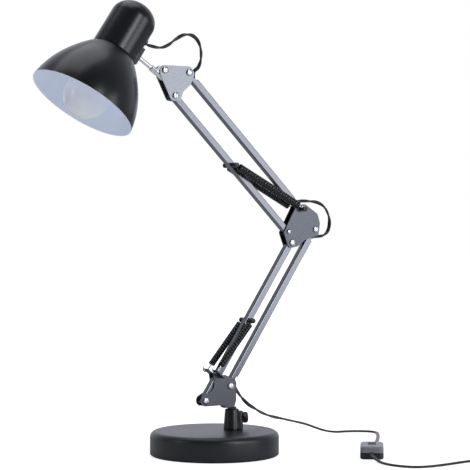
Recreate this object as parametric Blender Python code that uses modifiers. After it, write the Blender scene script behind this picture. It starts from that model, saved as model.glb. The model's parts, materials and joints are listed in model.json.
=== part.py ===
"""Swing arm desk lamp: a weighted round base, a swivelling spring balanced double arm
of square tube, and a bell shaded head on a tilting rod.

Metres, +Z up.  The origin is the centre of the base's underside, the arms stand in the
XZ plane, and the head reaches towards -X.  Run it with
blender --background --python part.py, or from Blender's text editor.
"""

import math

import bpy
import bmesh
from mathutils import Matrix, Vector

# ---------------------------------------------------------------- driving dimensions
GAP = 0.0003               # between two pieces that rest on or pass each other
THIN = 0.0001              # how far a cutter's end stands past the face it cuts

BASE_RADIUS = 0.0856
BASE_HEIGHT = 0.032
BASE_WALL = 0.0015
BASE_EDGE = 0.008          # radius of the top edge
PAD_THICK = 0.0025
PAD_INSET = 0.0012         # the cover's rim stands this far above the table
SLUG_RADIUS = 0.055        # cast iron weight clamped under the cover's top

POST_X = 0.0276            # the swivel axis, behind the base's centre
POST_RADIUS = 0.0112          # at its foot, tapering to the top
POST_TOP_RADIUS = 0.0094
POST_HEIGHT = 0.027
POST_CHAMFER = 0.0018
STEM_RADIUS = 0.0050
BORE_DEPTH = 0.0225
BOSS_HALF = 0.0053            # half the width of the rib the clamping screw goes through
BOSS_TOP = 0.0030             # below the post's top
BOSS_REACH = 0.0148        # from the swivel axis to the rib's outer face
KNOB_ANGLE = math.radians(-22)
KNOB_HEIGHT = 0.0150       # screw axis above the post's foot
SCREW_RADIUS = 0.0024
KNOB_THICK = 0.0062
KNOB_RADIUS = 0.0074

SPINDLE_RADIUS = 0.0060
NECK = 0.0030              # daylight between the post and the lower bracket

BAR = 0.0090               # outside width of the square arm tube
BAR_WALL = 0.0010
BAR_CORNER = 0.0011
BAR_END = 0.0050           # tube past each pivot
LOWER_ARM = 0.2500         # pivot to pivot
UPPER_ARM = 0.2530
LOWER_LEAN = math.radians(56.2)    # lower arm above +X
UPPER_LEAN = math.radians(135.2)   # upper arm above +X
PLATE_GAP = 0.0004         # tube to bracket plate
PLATE_THICK = 0.0015

PIVOT_H = Vector((-0.0174, 0.0, 0.0725))   # foot of the lower front bar
LOWER_LINK = Vector((0.0392, 0.0, 0.0177))    # front bar's foot to rear bar's foot
ELBOW_RISE = Vector((-0.0058, 0.0, 0.0148))   # lower front pivot to upper front pivot
UPPER_LINK = Vector((0.0210, 0.0, 0.0310))    # front bar's end to rear bar's end
HEAD_RISE = Vector((-0.0160, 0.0, 0.0328))    # front bar's end to the tilt pivot

BOLT_RADIUS = 0.00195
BOLT_HEAD = 0.0046
BOLT_HEAD_HIGH = 0.0024
SMALL_HEAD = 0.0034
PIN_BOSS = 0.0034
PIN_REACH = 0.0160         # half the length of a spring pin
PIN_GROOVE = 0.0023

SPRING_Y = 0.0118          # a spring's centre line beside the arm
LOWER_COIL = 0.0090
UPPER_COIL = 0.0100
COIL_WALL = 0.0010
WIRE = 0.00075             # radius of spring wire and hooks
LOWER_PIN_AT = 0.1250      # spring pin along the front bar
UPPER_PIN_AT = 0.1265
EAR_HOLE = Vector((-0.0040, 0.0, 0.1110))  # where the lower springs hook on
EAR_BORE = 0.0022

HEAD_SLOPE = math.radians(56.0)    # shade axis below -X
NECK_REACH = Vector((-0.073353, 0.0, 0.019183))  # tilt pivot to where neck and shade meet
NECK_RADIUS = 0.0300
NECK_LENGTH = 0.0752
SHEET = 0.0012             # spun sheet of the shade and neck
SHADE_DEPTH = 0.0800
SHADE_RADIUS = 0.0712
ROD_RADIUS = 0.0029
ROD_UP_NECK = 0.0168       # rod above the shade joint, along the neck
ROD_OFFSET = 0.0078        # rod's centre line below the tilt pivot
SLEEVE_RADIUS = 0.0042
SADDLE_THICK = 0.0030
BULB_RADIUS = 0.0300
BULB_BACK = 0.0120         # bulb centre inside the shade's rim plane

CORD = 0.0019              # radius of the plain tube standing for the twin flex
SWITCH_SIZE = (0.057, 0.0305, 0.0165)
SWITCH_PLACE = Vector((0.1628, -0.1302, 0.0))
SWITCH_TURN = math.radians(52.4)
COIL_PLACE = Vector((0.2880, -0.2830, 0.0))
COIL_MEAN = 0.0280
COIL_COLUMN = 0.0156       # width of the wound cord's section
COIL_HIGH = 0.0061          # two layers of the flat flex
PLUG_PLACE = Vector((0.3566, -0.2842, 0.0))
PLUG_TURN = math.radians(-30)
RELIEF = 0.0220             # the plug's tapered strain relief
PLUG_SIZE = (0.032, 0.0220, 0.0130)

# ---------------------------------------------------------------- worked out from them


def direction(angle):
    """Unit vector in the arm plane at this angle above +X."""
    return Vector((math.cos(angle), 0.0, math.sin(angle)))


LOWER_DIR = direction(LOWER_LEAN)
UPPER_DIR = direction(UPPER_LEAN)
PIVOT_I = PIVOT_H + LOWER_LINK
PIVOT_F = PIVOT_H + LOWER_DIR * LOWER_ARM
PIVOT_G = PIVOT_F + LOWER_LINK
PIVOT_D = PIVOT_F + ELBOW_RISE
PIVOT_E = PIVOT_D + UPPER_LINK
PIVOT_C = PIVOT_D + UPPER_DIR * UPPER_ARM
PIVOT_B = PIVOT_C + UPPER_LINK
PIVOT_A = PIVOT_C + HEAD_RISE
LOWER_PIN = PIVOT_H + LOWER_DIR * LOWER_PIN_AT
UPPER_PIN = PIVOT_D + UPPER_DIR * UPPER_PIN_AT

PLATE_IN = BAR / 2 + PLATE_GAP
PLATE_OUT = PLATE_IN + PLATE_THICK
HOLE = BOLT_RADIUS + GAP
POST_FOOT = BASE_HEIGHT + GAP
POST_TOP = POST_FOOT + POST_HEIGHT
PLATE_FOOT = POST_TOP + NECK

NECK_DIR = Vector((-math.cos(HEAD_SLOPE), 0.0, -math.sin(HEAD_SLOPE)))  # neck to shade
ROD_DIR = Vector((-math.sin(HEAD_SLOPE), 0.0, math.cos(HEAD_SLOPE)))   # tilt pivot to neck
ROD_START = PIVOT_A + ROD_OFFSET * NECK_DIR
NECK_FOOT = PIVOT_A + NECK_REACH

# ---------------------------------------------------------------- modelling helpers

for old in list(bpy.data.objects):
    bpy.data.objects.remove(old, do_unlink=True)
PARTS = bpy.data.collections.new("swing_arm_desk_lamp")
CUTTERS = bpy.data.collections.new("cutters")
for collection in (PARTS, CUTTERS):
    bpy.context.scene.collection.children.link(collection)


def material(name, colour, roughness, metallic=0.0, clear=0.0):
    """A Principled BSDF with one colour."""
    made = bpy.data.materials.new(name)
    made.use_nodes = True
    shader = made.node_tree.nodes["Principled BSDF"]
    shader.inputs["Base Color"].default_value = (*colour, 1.0)
    shader.inputs["Roughness"].default_value = roughness
    shader.inputs["Metallic"].default_value = metallic
    shader.inputs["Transmission Weight"].default_value = clear
    return made


def black_plastic(name):
    return material(name, (0.012, 0.012, 0.013), 0.35)


def black_paint(name):
    return material(name, (0.010, 0.010, 0.011), 0.25, 0.2)


def silver_paint(name):
    return material(name, (0.42, 0.43, 0.46), 0.32, 0.9)


def steel(name):
    return material(name, (0.70, 0.70, 0.70), 0.22, 1.0)


def pivot_empty(name, location, parent=None):
    """An empty on a joint's axis, which the moving pieces are parented to."""
    empty = bpy.data.objects.new(name, None)
    empty.empty_display_size = 0.01
    PARTS.objects.link(empty)
    empty.location = location
    keep_parent(empty, parent)
    return empty


def keep_parent(obj, parent):
    """Parents obj and keeps it where it is."""
    bpy.context.view_layer.update()
    if parent is not None:
        obj.parent = parent
        obj.matrix_parent_inverse = parent.matrix_world.inverted()


def piece(obj, name, made, parent=None):
    """Turns a finished object into a named sub-part."""
    obj.name = name
    obj.data.name = name
    obj.data.materials.clear()
    obj.data.materials.append(made)
    keep_parent(obj, parent)
    return obj


def as_cutter(obj):
    """Keeps obj for a Boolean and out of the render."""
    PARTS.objects.unlink(obj)
    CUTTERS.objects.link(obj)
    obj.hide_render = True
    obj.display_type = "WIRE"
    return obj


def boolean(obj, other, operation="DIFFERENCE"):
    """Adds a Boolean modifier with other as its cutter."""
    modifier = obj.modifiers.new(operation.lower(), "BOOLEAN")
    modifier.operation = operation
    modifier.solver = "EXACT"
    modifier.object = as_cutter(other)
    return obj


def mesh_object(build):
    """A mesh object filled by build(bm)."""
    mesh = bpy.data.meshes.new("shape")
    bm = bmesh.new()
    build(bm)
    bm.to_mesh(mesh)
    bm.free()
    obj = bpy.data.objects.new("shape", mesh)
    PARTS.objects.link(obj)
    return obj


def box(size, centre=(0.0, 0.0, 0.0)):
    """A box of this size about centre."""

    def build(bm):
        scale = Matrix.Diagonal((*size, 1.0))
        bmesh.ops.create_cube(bm, size=1.0, matrix=Matrix.Translation(centre) @ scale)

    return mesh_object(build)


def rod(radius, start, end, segments=16, end_radius=None):
    """A round bar between two points."""
    start, end = Vector(start), Vector(end)
    turn = (end - start).to_track_quat("Z", "Y").to_matrix().to_4x4()

    def build(bm):
        bmesh.ops.create_cone(
            bm,
            cap_ends=True,
            segments=segments,
            radius1=radius,
            radius2=radius if end_radius is None else end_radius,
            depth=(end - start).length,
            matrix=Matrix.Translation((start + end) / 2) @ turn,
        )

    return mesh_object(build)


def turned(profile, segments=32):
    """A turned shape about local Z from (radius, height) points, outer side top to bottom."""

    def build(bm):
        points = [bm.verts.new((radius, 0.0, height)) for radius, height in profile]
        for first, second in zip(points, points[1:]):
            bm.edges.new((first, second))
        if profile[0][0] > 0 and profile[-1][0] > 0:
            bm.edges.new((points[-1], points[0]))

    obj = mesh_object(build)
    screw = obj.modifiers.new("turn", "SCREW")
    screw.axis = "Z"
    screw.steps = segments
    screw.render_steps = segments
    screw.use_merge_vertices = True
    screw.merge_threshold = 0.00001
    return obj


def arc(centre, radius, start, end, steps):
    """Points round an arc, angles in degrees."""
    angles = [math.radians(start + (end - start) * i / steps) for i in range(steps + 1)]
    return [(centre[0] + radius * math.cos(a), centre[1] + radius * math.sin(a)) for a in angles]


def rounded(corners, steps=5):
    """An outline from (x, y, radius) corners, each rounded by its own radius."""
    outline = []
    count = len(corners)
    for i, (x, y, radius) in enumerate(corners):
        here = Vector((x, y))
        to_last = (Vector(corners[i - 1][:2]) - here).normalized()
        to_next = (Vector(corners[(i + 1) % count][:2]) - here).normalized()
        half = to_last.angle(to_next) / 2
        if radius <= 0:
            outline.append((x, y))
            continue
        reach = radius / math.tan(half)
        first, last = here + to_last * reach, here + to_next * reach
        centre = here + (to_last + to_next).normalized() * (radius / math.sin(half))
        begin = first - centre
        sweep = begin.angle_signed(last - centre)
        for step in range(steps + 1):
            spoke = begin.copy()
            spoke.rotate(Matrix.Rotation(-sweep * step / steps, 2))
            outline.append(tuple(centre + spoke))
    return outline


def circle(centre, radius, segments=14):
    """The points of a round hole."""
    return [
        (
            centre[0] + radius * math.cos(2 * math.pi * i / segments),
            centre[1] + radius * math.sin(2 * math.pi * i / segments),
        )
        for i in range(segments)
    ]


def flat(outlines, thickness):
    """A flat plate about local Z = 0, its later outlines being holes."""
    curve = bpy.data.curves.new("flat", "CURVE")
    curve.dimensions = "2D"
    curve.fill_mode = "BOTH"
    curve.extrude = thickness / 2
    for outline in outlines:
        spline = curve.splines.new("POLY")
        spline.points.add(len(outline) - 1)
        spline.use_cyclic_u = True
        for point, (x, y) in zip(spline.points, outline):
            point.co = (x, y, 0.0, 1.0)
    obj = bpy.data.objects.new("flat", curve)
    PARTS.objects.link(obj)
    return obj


def wire(points, radius, resolution=2):
    """A round wire or tube along points."""
    curve = bpy.data.curves.new("wire", "CURVE")
    curve.dimensions = "3D"
    curve.bevel_depth = radius
    curve.bevel_resolution = resolution
    curve.use_fill_caps = True
    spline = curve.splines.new("POLY")
    spline.points.add(len(points) - 1)
    for point, place in zip(spline.points, points):
        point.co = (*place, 1.0)
    obj = bpy.data.objects.new("wire", curve)
    PARTS.objects.link(obj)
    return obj


def as_mesh(obj, matrix=None):
    """obj with its curve and modifiers made a plain mesh, moved by matrix in its own space."""
    bpy.context.view_layer.update()
    evaluated = obj.evaluated_get(bpy.context.evaluated_depsgraph_get())
    mesh = bpy.data.meshes.new_from_object(evaluated)
    bm = bmesh.new()
    bm.from_mesh(mesh)
    bmesh.ops.remove_doubles(bm, verts=bm.verts, dist=0.000001)
    if matrix is not None:
        bmesh.ops.transform(bm, matrix=matrix, verts=bm.verts)
    bm.to_mesh(mesh)
    bm.free()
    made = bpy.data.objects.new("shape", mesh)
    made.matrix_world = obj.matrix_world.copy()
    PARTS.objects.link(made)
    bpy.data.objects.remove(obj, do_unlink=True)
    return made


def smooth_line(points, spacing):
    """Points a spacing apart on a smooth curve through the given ones."""
    knots = [Vector(p) for p in points]
    knots = [2 * knots[0] - knots[1], *knots, 2 * knots[-1] - knots[-2]]
    fine = []
    for a, b, c, d in zip(knots, knots[1:], knots[2:], knots[3:]):
        for step in range(24):
            t = step / 24
            fine.append(
                0.5
                * (
                    2 * b
                    + (c - a) * t
                    + (2 * a - 5 * b + 4 * c - d) * t * t
                    + (3 * b - a - 3 * c + d) * t * t * t
                )
            )
    fine.append(knots[-2])
    lengths = [0.0]
    for a, b in zip(fine, fine[1:]):
        lengths.append(lengths[-1] + (b - a).length)
    count = max(2, round(lengths[-1] / spacing))
    line, at = [], 0
    for i in range(count + 1):
        target = lengths[-1] * i / count
        while at < len(fine) - 2 and lengths[at + 1] < target:
            at += 1
        share = (target - lengths[at]) / max(lengths[at + 1] - lengths[at], 1e-9)
        line.append(fine[at].lerp(fine[at + 1], share))
    return line


def axes(location, x_axis, z_axis):
    """A placement whose local X and Z point along the given directions."""
    z_axis, x_axis = Vector(z_axis).normalized(), Vector(x_axis).normalized()
    y_axis = z_axis.cross(x_axis)
    turn = Matrix((x_axis, y_axis, z_axis)).transposed().to_4x4()
    return Matrix.Translation(location) @ turn


UPRIGHT = Matrix.Rotation(math.radians(90), 4, "X")   # local XY to the arm plane
ALONG_Y = Matrix.Rotation(math.radians(-90), 4, "X")  # local Z to +Y


# ---------------------------------------------------------------- base and post


def base_pieces():
    """Spun cover, iron slug, foot pad, post, nut and knob."""
    edge = arc((BASE_RADIUS - BASE_EDGE, BASE_HEIGHT - BASE_EDGE), BASE_EDGE, 90, 3, 6)
    inner = arc(
        (BASE_RADIUS - BASE_EDGE, BASE_HEIGHT - BASE_EDGE), BASE_EDGE - BASE_WALL, 3, 90, 4
    )
    foot = [(BASE_RADIUS, PAD_INSET), (BASE_RADIUS - BASE_WALL, PAD_INSET)]
    profile = [(0.0, BASE_HEIGHT), *edge, *foot, *inner, (0.0, BASE_HEIGHT - BASE_WALL)]
    cover = turned(profile, 40)
    stem = Vector((POST_X, 0.0, 0.0))
    up = Vector((0.0, 0.0, BASE_HEIGHT + THIN))
    boolean(cover, rod(STEM_RADIUS + GAP, stem, stem + up))
    piece(cover, "base_cover", material("base_enamel", (0.32, 0.33, 0.35), 0.28, 0.6))

    top = BASE_HEIGHT - BASE_WALL - GAP
    rim = BASE_RADIUS - BASE_WALL - GAP
    low = PAD_THICK + GAP
    slug = turned([(0.0, top), (SLUG_RADIUS, top), (SLUG_RADIUS, low), (0.0, low)], 32)
    boolean(slug, rod(STEM_RADIUS + GAP, stem, stem + up))
    nut_top = low + 0.0075
    boolean(slug, rod(0.0115, stem, stem + Vector((0.0, 0.0, nut_top)), 20))
    piece(slug, "base_weight", material("cast_iron", (0.05, 0.05, 0.05), 0.7, 0.6))

    pad = turned([(0.0, PAD_THICK), (rim - GAP, PAD_THICK), (rim - GAP, 0.0), (0.0, 0.0)], 40)
    piece(pad, "base_pad", material("pad_felt", (0.03, 0.03, 0.03), 0.95))

    post = turned(
        [
            (0.0, POST_TOP - BORE_DEPTH),
            (SPINDLE_RADIUS + GAP, POST_TOP - BORE_DEPTH),
            (SPINDLE_RADIUS + GAP, POST_TOP),
            (POST_TOP_RADIUS - POST_CHAMFER, POST_TOP),
            (POST_TOP_RADIUS, POST_TOP - POST_CHAMFER),
            (POST_RADIUS, POST_FOOT),
            (STEM_RADIUS, POST_FOOT),
            (STEM_RADIUS, low + GAP),
            (0.0, low + GAP),
        ],
        28,
    )
    post.location = stem
    post = as_mesh(post)
    out = Vector((math.cos(KNOB_ANGLE), math.sin(KNOB_ANGLE), 0.0))
    level = stem + Vector((0.0, 0.0, POST_FOOT + KNOB_HEIGHT))
    rib = [(SPINDLE_RADIUS + 0.0010, -BOSS_HALF, 0.0), (BOSS_REACH, -BOSS_HALF, 0.0040),
           (BOSS_REACH, BOSS_HALF, 0.0040), (SPINDLE_RADIUS + 0.0010, BOSS_HALF, 0.0)]
    rib_high = POST_HEIGHT - BOSS_TOP
    boss = as_mesh(flat([rounded(rib, 4)], rib_high), Matrix.Translation((0.0, 0.0, rib_high / 2)))
    boss.matrix_world = (
        Matrix.Translation(stem + Vector((0.0, 0.0, POST_FOOT)))
        @ Matrix.Rotation(KNOB_ANGLE, 4, "Z")
    )
    boolean(post, boss, "UNION")
    boolean(post, rod(SCREW_RADIUS + GAP, level, level + out * (BOSS_REACH + THIN), 12))
    piece(post, "base_post", black_paint("post_paint"))

    nut = flat([circle((0.0, 0.0), 0.0095, 6), circle((0.0, 0.0), STEM_RADIUS + GAP)], 0.006)
    nut = as_mesh(nut)
    nut.location = stem + Vector((0.0, 0.0, nut_top - GAP - 0.003))
    piece(nut, "post_nut", steel("nut_steel"))

    # fluted knob with its clamping screw in one moulding
    hinge = pivot_empty("knob_axis", level)
    screw = rod(SCREW_RADIUS, level + out * (SPINDLE_RADIUS + GAP), level + out * (BOSS_REACH + 0.004), 12)
    grip = []
    for k in range(40):
        angle = 2 * math.pi * k / 40
        reach = KNOB_RADIUS - 0.0004 * (1 - math.cos(8 * angle))
        grip.append((reach * math.cos(angle), reach * math.sin(angle)))
    hub = as_mesh(flat([grip], KNOB_THICK), Matrix.Translation((0.0, 0.0, KNOB_THICK / 2)))
    hub.matrix_world = axes(level + out * (BOSS_REACH + 0.0006), (0.0, 0.0, 1.0), out)
    boolean(hub, screw, "UNION")
    piece(hub, "lock_knob", black_plastic("knob_plastic"), hinge)


# ---------------------------------------------------------------- bars and plates


def bar(name, start, along, length, slots, parent, pin_at=None):
    """Square tube from its pivot start, drilled at both pivots, with cord slots at the ends."""
    half, inside = BAR / 2, BAR / 2 - BAR_WALL
    outer = rounded([(-half, -half, BAR_CORNER), (half, -half, BAR_CORNER),
                     (half, half, BAR_CORNER), (-half, half, BAR_CORNER)], 3)
    bore = [(-inside, -inside), (inside, -inside), (inside, inside), (-inside, inside)]
    whole = length + 2 * BAR_END
    tube = flat([outer, bore], whole)
    tube = as_mesh(tube, Matrix.Translation((0.0, 0.0, whole / 2 - BAR_END)))
    side = Vector((along.z, 0.0, -along.x))
    tube.matrix_world = axes(start, side, along)
    across = Vector((0.0, half + THIN * 5, 0.0))
    drilled = [0.0, length] + ([pin_at] if pin_at else [])
    for at in drilled:
        centre = start + along * at
        boolean(tube, rod(HOLE, centre - across, centre + across, 12))
    for at, lean in slots:
        notch = box((0.0060, BAR + 0.002, 0.0120), (half - 0.0002, 0.0, 0.0))
        notch.matrix_world = axes(start + along * at, side, along) @ Matrix.Rotation(lean, 4, "Y")
        boolean(tube, notch)
    return piece(tube, name, silver_paint(name + "_paint"), parent)


def plate_pair(stem, outline, holes, parent, ear=None):
    """The near (-Y) and far (+Y) plates of a bracket."""
    made = []
    for side, label in ((-1, "near"), (1, "far")):
        rings = [circle((centre.x, centre.z), HOLE) for centre in holes]
        plate = flat([outline, *rings], PLATE_THICK)
        plate.matrix_world = UPRIGHT
        plate.location = (0.0, side * (PLATE_IN + PLATE_OUT) / 2, 0.0)
        if ear:
            plate = as_mesh(plate)
            ear(plate, side)
        made.append(piece(plate, f"{stem}_plate_{label}", silver_paint(f"{stem}_{label}_paint"), parent))
    return made


def bolt(name, centre, head, parent):
    """Pan head screw through a bracket, its head at -Y and its round nut at +Y."""
    seat = PLATE_OUT + GAP
    high = BOLT_HEAD_HIGH
    profile = [
        (0.0, seat + high),
        (head * 0.62, seat + high),
        (head * 0.92, seat + high * 0.62),
        (head, seat),
        (BOLT_RADIUS, seat),
        (BOLT_RADIUS, -seat),
        (0.0036, -seat),
        (0.0036, -seat - 0.0026),
        (0.0, -seat - 0.0026),
    ]
    screw = turned(profile, 14)
    screw.matrix_world = Matrix.Translation(centre) @ UPRIGHT
    return piece(screw, name, steel(name + "_plating"), parent)


def spring_pin(name, centre, inner, parent):
    """Black cross pin with a grooved boss each side, which the springs pull on."""
    high = SPRING_Y + 0.0017
    low = SPRING_Y - 0.0017
    half = [
        (0.0, PIN_REACH),
        (PIN_BOSS - 0.0006, PIN_REACH),
        (PIN_BOSS, PIN_REACH - 0.0006),
        (PIN_BOSS, high),
        (PIN_GROOVE, high - 0.0008),
        (PIN_GROOVE, low + 0.0008),
        (PIN_BOSS, low),
        (PIN_BOSS, inner),
        (BOLT_RADIUS, inner),
    ]
    profile = half + [(radius, -height) for radius, height in reversed(half)]
    pin = turned(profile, 16)
    pin.matrix_world = Matrix.Translation(centre) @ UPRIGHT
    return piece(pin, name, black_plastic(name + "_plastic"), parent)


def lower_bracket(parent):
    """Spindle, the two plates with their spring ears, and the two bolts."""
    h, i = PIVOT_H, PIVOT_I
    along = (LOWER_PIN - EAR_HOLE).normalized()
    up_left = Vector((-along.z, 0.0, along.x))
    ear_end = EAR_HOLE + up_left * 0.0032
    ear_root = EAR_HOLE - up_left * 0.0135
    outline = rounded([
        (h.x - 0.0075, h.z - 0.0072, 0.0070),
        (POST_X - 0.0152, h.z - 0.0072, 0.0030),
        (POST_X - 0.0140, PLATE_FOOT, 0.0012),
        (POST_X - 0.0004, PLATE_FOOT, 0.0012),
        (i.x + 0.0086, h.z - 0.0020, 0.0040),
        (i.x + 0.0088, i.z + 0.0082, 0.0080),
        (ear_root.x + 0.0052, ear_root.z + 0.0040, 0.0030),
        (ear_root.x, ear_root.z, 0.0),
        (ear_end.x, ear_end.z, 0.0),
        (ear_end.x + 0.0026, ear_end.z - 0.0130, 0.0060),
        (h.x + 0.0125, h.z + 0.0150, 0.0080),
        (h.x - 0.0020, h.z + 0.0075, 0.0040),
        (h.x - 0.0075, h.z + 0.0075, 0.0070),
    ])

    def ear(plate, side):
        """Tab folded outwards, square to the spring, with the hook's hole."""
        width = (ear_end - ear_root).length
        reach = SPRING_Y + 0.0050 - PLATE_IN
        tab = box((width, reach, PLATE_THICK))
        middle = (ear_end + ear_root) / 2
        middle.y = side * (PLATE_IN + reach / 2)
        tab.matrix_world = axes(middle, up_left, along)
        boolean(plate, tab, "UNION")
        eye = EAR_HOLE + Vector((0.0, side * SPRING_Y, 0.0))
        boolean(plate, rod(EAR_BORE, eye - along * 0.004, eye + along * 0.002, 12))

    plate_pair("lower", outline, (h, i), parent, ear)

    foot = Vector((POST_X, 0.0, POST_TOP - BORE_DEPTH + GAP))
    spindle = rod(SPINDLE_RADIUS, foot, (POST_X, 0.0, PLATE_FOOT - GAP), 24)
    width = 0.0150
    block = box(
        (width, 2 * (PLATE_IN - GAP), 0.0170),
        (POST_X + 0.0008 - width / 2, 0.0, PLATE_FOOT + 0.0075),
    )
    boolean(spindle, block, "UNION")
    piece(spindle, "spindle", black_paint("spindle_paint"), parent)
    bolt("bolt_lower_front", h, BOLT_HEAD, parent)
    bolt("bolt_lower_rear", i, BOLT_HEAD, parent)


def elbow(parent):
    """The elbow's plates, three bolts and the upper spring pin."""
    f, g, d, e = PIVOT_F, PIVOT_G, PIVOT_D, PIVOT_E
    outline = rounded([
        (f.x - 0.0055, f.z - 0.0078, 0.0055),
        (f.x + 0.0095, f.z - 0.0052, 0.0040),
        (f.x + 0.0205, f.z + 0.0030, 0.0060),
        (g.x + 0.0046, g.z - 0.0080, 0.0050),
        (g.x + 0.0070, g.z + 0.0085, 0.0080),
        (g.x + 0.0030, g.z + 0.0212, 0.0060),
        (e.x + 0.0060, e.z + 0.0066, 0.0040),
        (e.x - 0.0080, e.z + 0.0050, 0.0030),
        (d.x - 0.0082, d.z - 0.0010, 0.0050),
    ])
    plate_pair("elbow", outline, (f, g, d, e), parent)
    bolt("bolt_elbow_front", f, BOLT_HEAD, parent)
    bolt("bolt_elbow_rear", g, BOLT_HEAD, parent)
    bolt("bolt_elbow_upper", d, SMALL_HEAD, parent)
    spring_pin("elbow_spring_pin", e, PLATE_OUT + GAP, parent)


def head_bracket(parent):
    """The head bracket's plates and three bolts."""
    a, b, c = PIVOT_A, PIVOT_B, PIVOT_C
    outline = rounded([
        (a.x - 0.0072, a.z + 0.0062, 0.0062),
        (b.x + 0.0020, b.z + 0.0080, 0.0070),
        (b.x + 0.0082, b.z - 0.0010, 0.0060),
        (b.x + 0.0020, b.z - 0.0160, 0.0040),
        (c.x + 0.0120, c.z + 0.0060, 0.0060),
        (c.x + 0.0066, c.z - 0.0066, 0.0060),
        (c.x - 0.0062, c.z - 0.0066, 0.0056),
        (a.x - 0.0072, a.z - 0.0060, 0.0060),
    ])
    plate_pair("head", outline, (a, b, c), parent)
    bolt("bolt_head_tilt", a, BOLT_HEAD, parent)
    bolt("bolt_head_rear", b, BOLT_HEAD, parent)
    bolt("bolt_head_front", c, BOLT_HEAD, parent)


# ---------------------------------------------------------------- balance springs


def spring_set(stem, anchor, pin, coil, hook_empty, coil_empty, through):
    """A spring each side: the coil hangs on the bar's pin, and its end hook on the anchor."""
    along = (anchor - pin).normalized()
    length = (anchor - pin).length
    sideways = Vector((along.z, 0.0, -along.x))
    coil_start, coil_end = PIN_BOSS + 0.0026, length - 0.0106
    for side, label in ((-1, "near"), (1, "far")):
        offset = Vector((0.0, side * SPRING_Y, 0.0))
        start, end = pin + offset + along * coil_start, pin + offset + along * coil_end
        body = rod(coil / 2, start, end, 14)
        bore = coil / 2 - COIL_WALL
        boolean(body, rod(bore, start + along * 0.012, end + along * THIN, 12))
        eye_radius = PIN_GROOVE + GAP + WIRE
        ring = [
            pin + offset + along * (eye_radius * math.cos(t)) + sideways * (eye_radius * math.sin(t))
            for t in [math.radians(28 + 304 * i / 14) for i in range(15)]
        ]
        eye = as_mesh(wire([*ring, pin + offset + along * (coil_start + 0.001)], WIRE, 1))
        boolean(body, eye, "UNION")
        piece(body, f"{stem}_spring_{label}", black_paint(f"{stem}_{label}_coil"), coil_empty)

        centre = anchor + offset
        if through:
            hook_radius = 0.0036
            bend = centre + sideways * hook_radius
            ring = [
                bend - sideways * (hook_radius * math.cos(t)) + along * (hook_radius * math.sin(t))
                for t in [math.radians(205 - 205 * i / 10) for i in range(11)]
            ]
            last = [centre - along * 0.004, centre - along * 0.026]
        else:
            hook_radius = PIN_GROOVE + GAP + WIRE
            ring = [
                centre - along * (hook_radius * math.cos(t)) + sideways * (hook_radius * math.sin(t))
                for t in [math.radians(-300 + 300 * i / 14) for i in range(15)]
            ]
            last = [centre - along * 0.042]
        hook = wire([*ring, *last], WIRE, 1)
        piece(hook, f"{stem}_hook_{label}", steel(f"{stem}_{label}_wire"), hook_empty)


# ---------------------------------------------------------------- head


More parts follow.
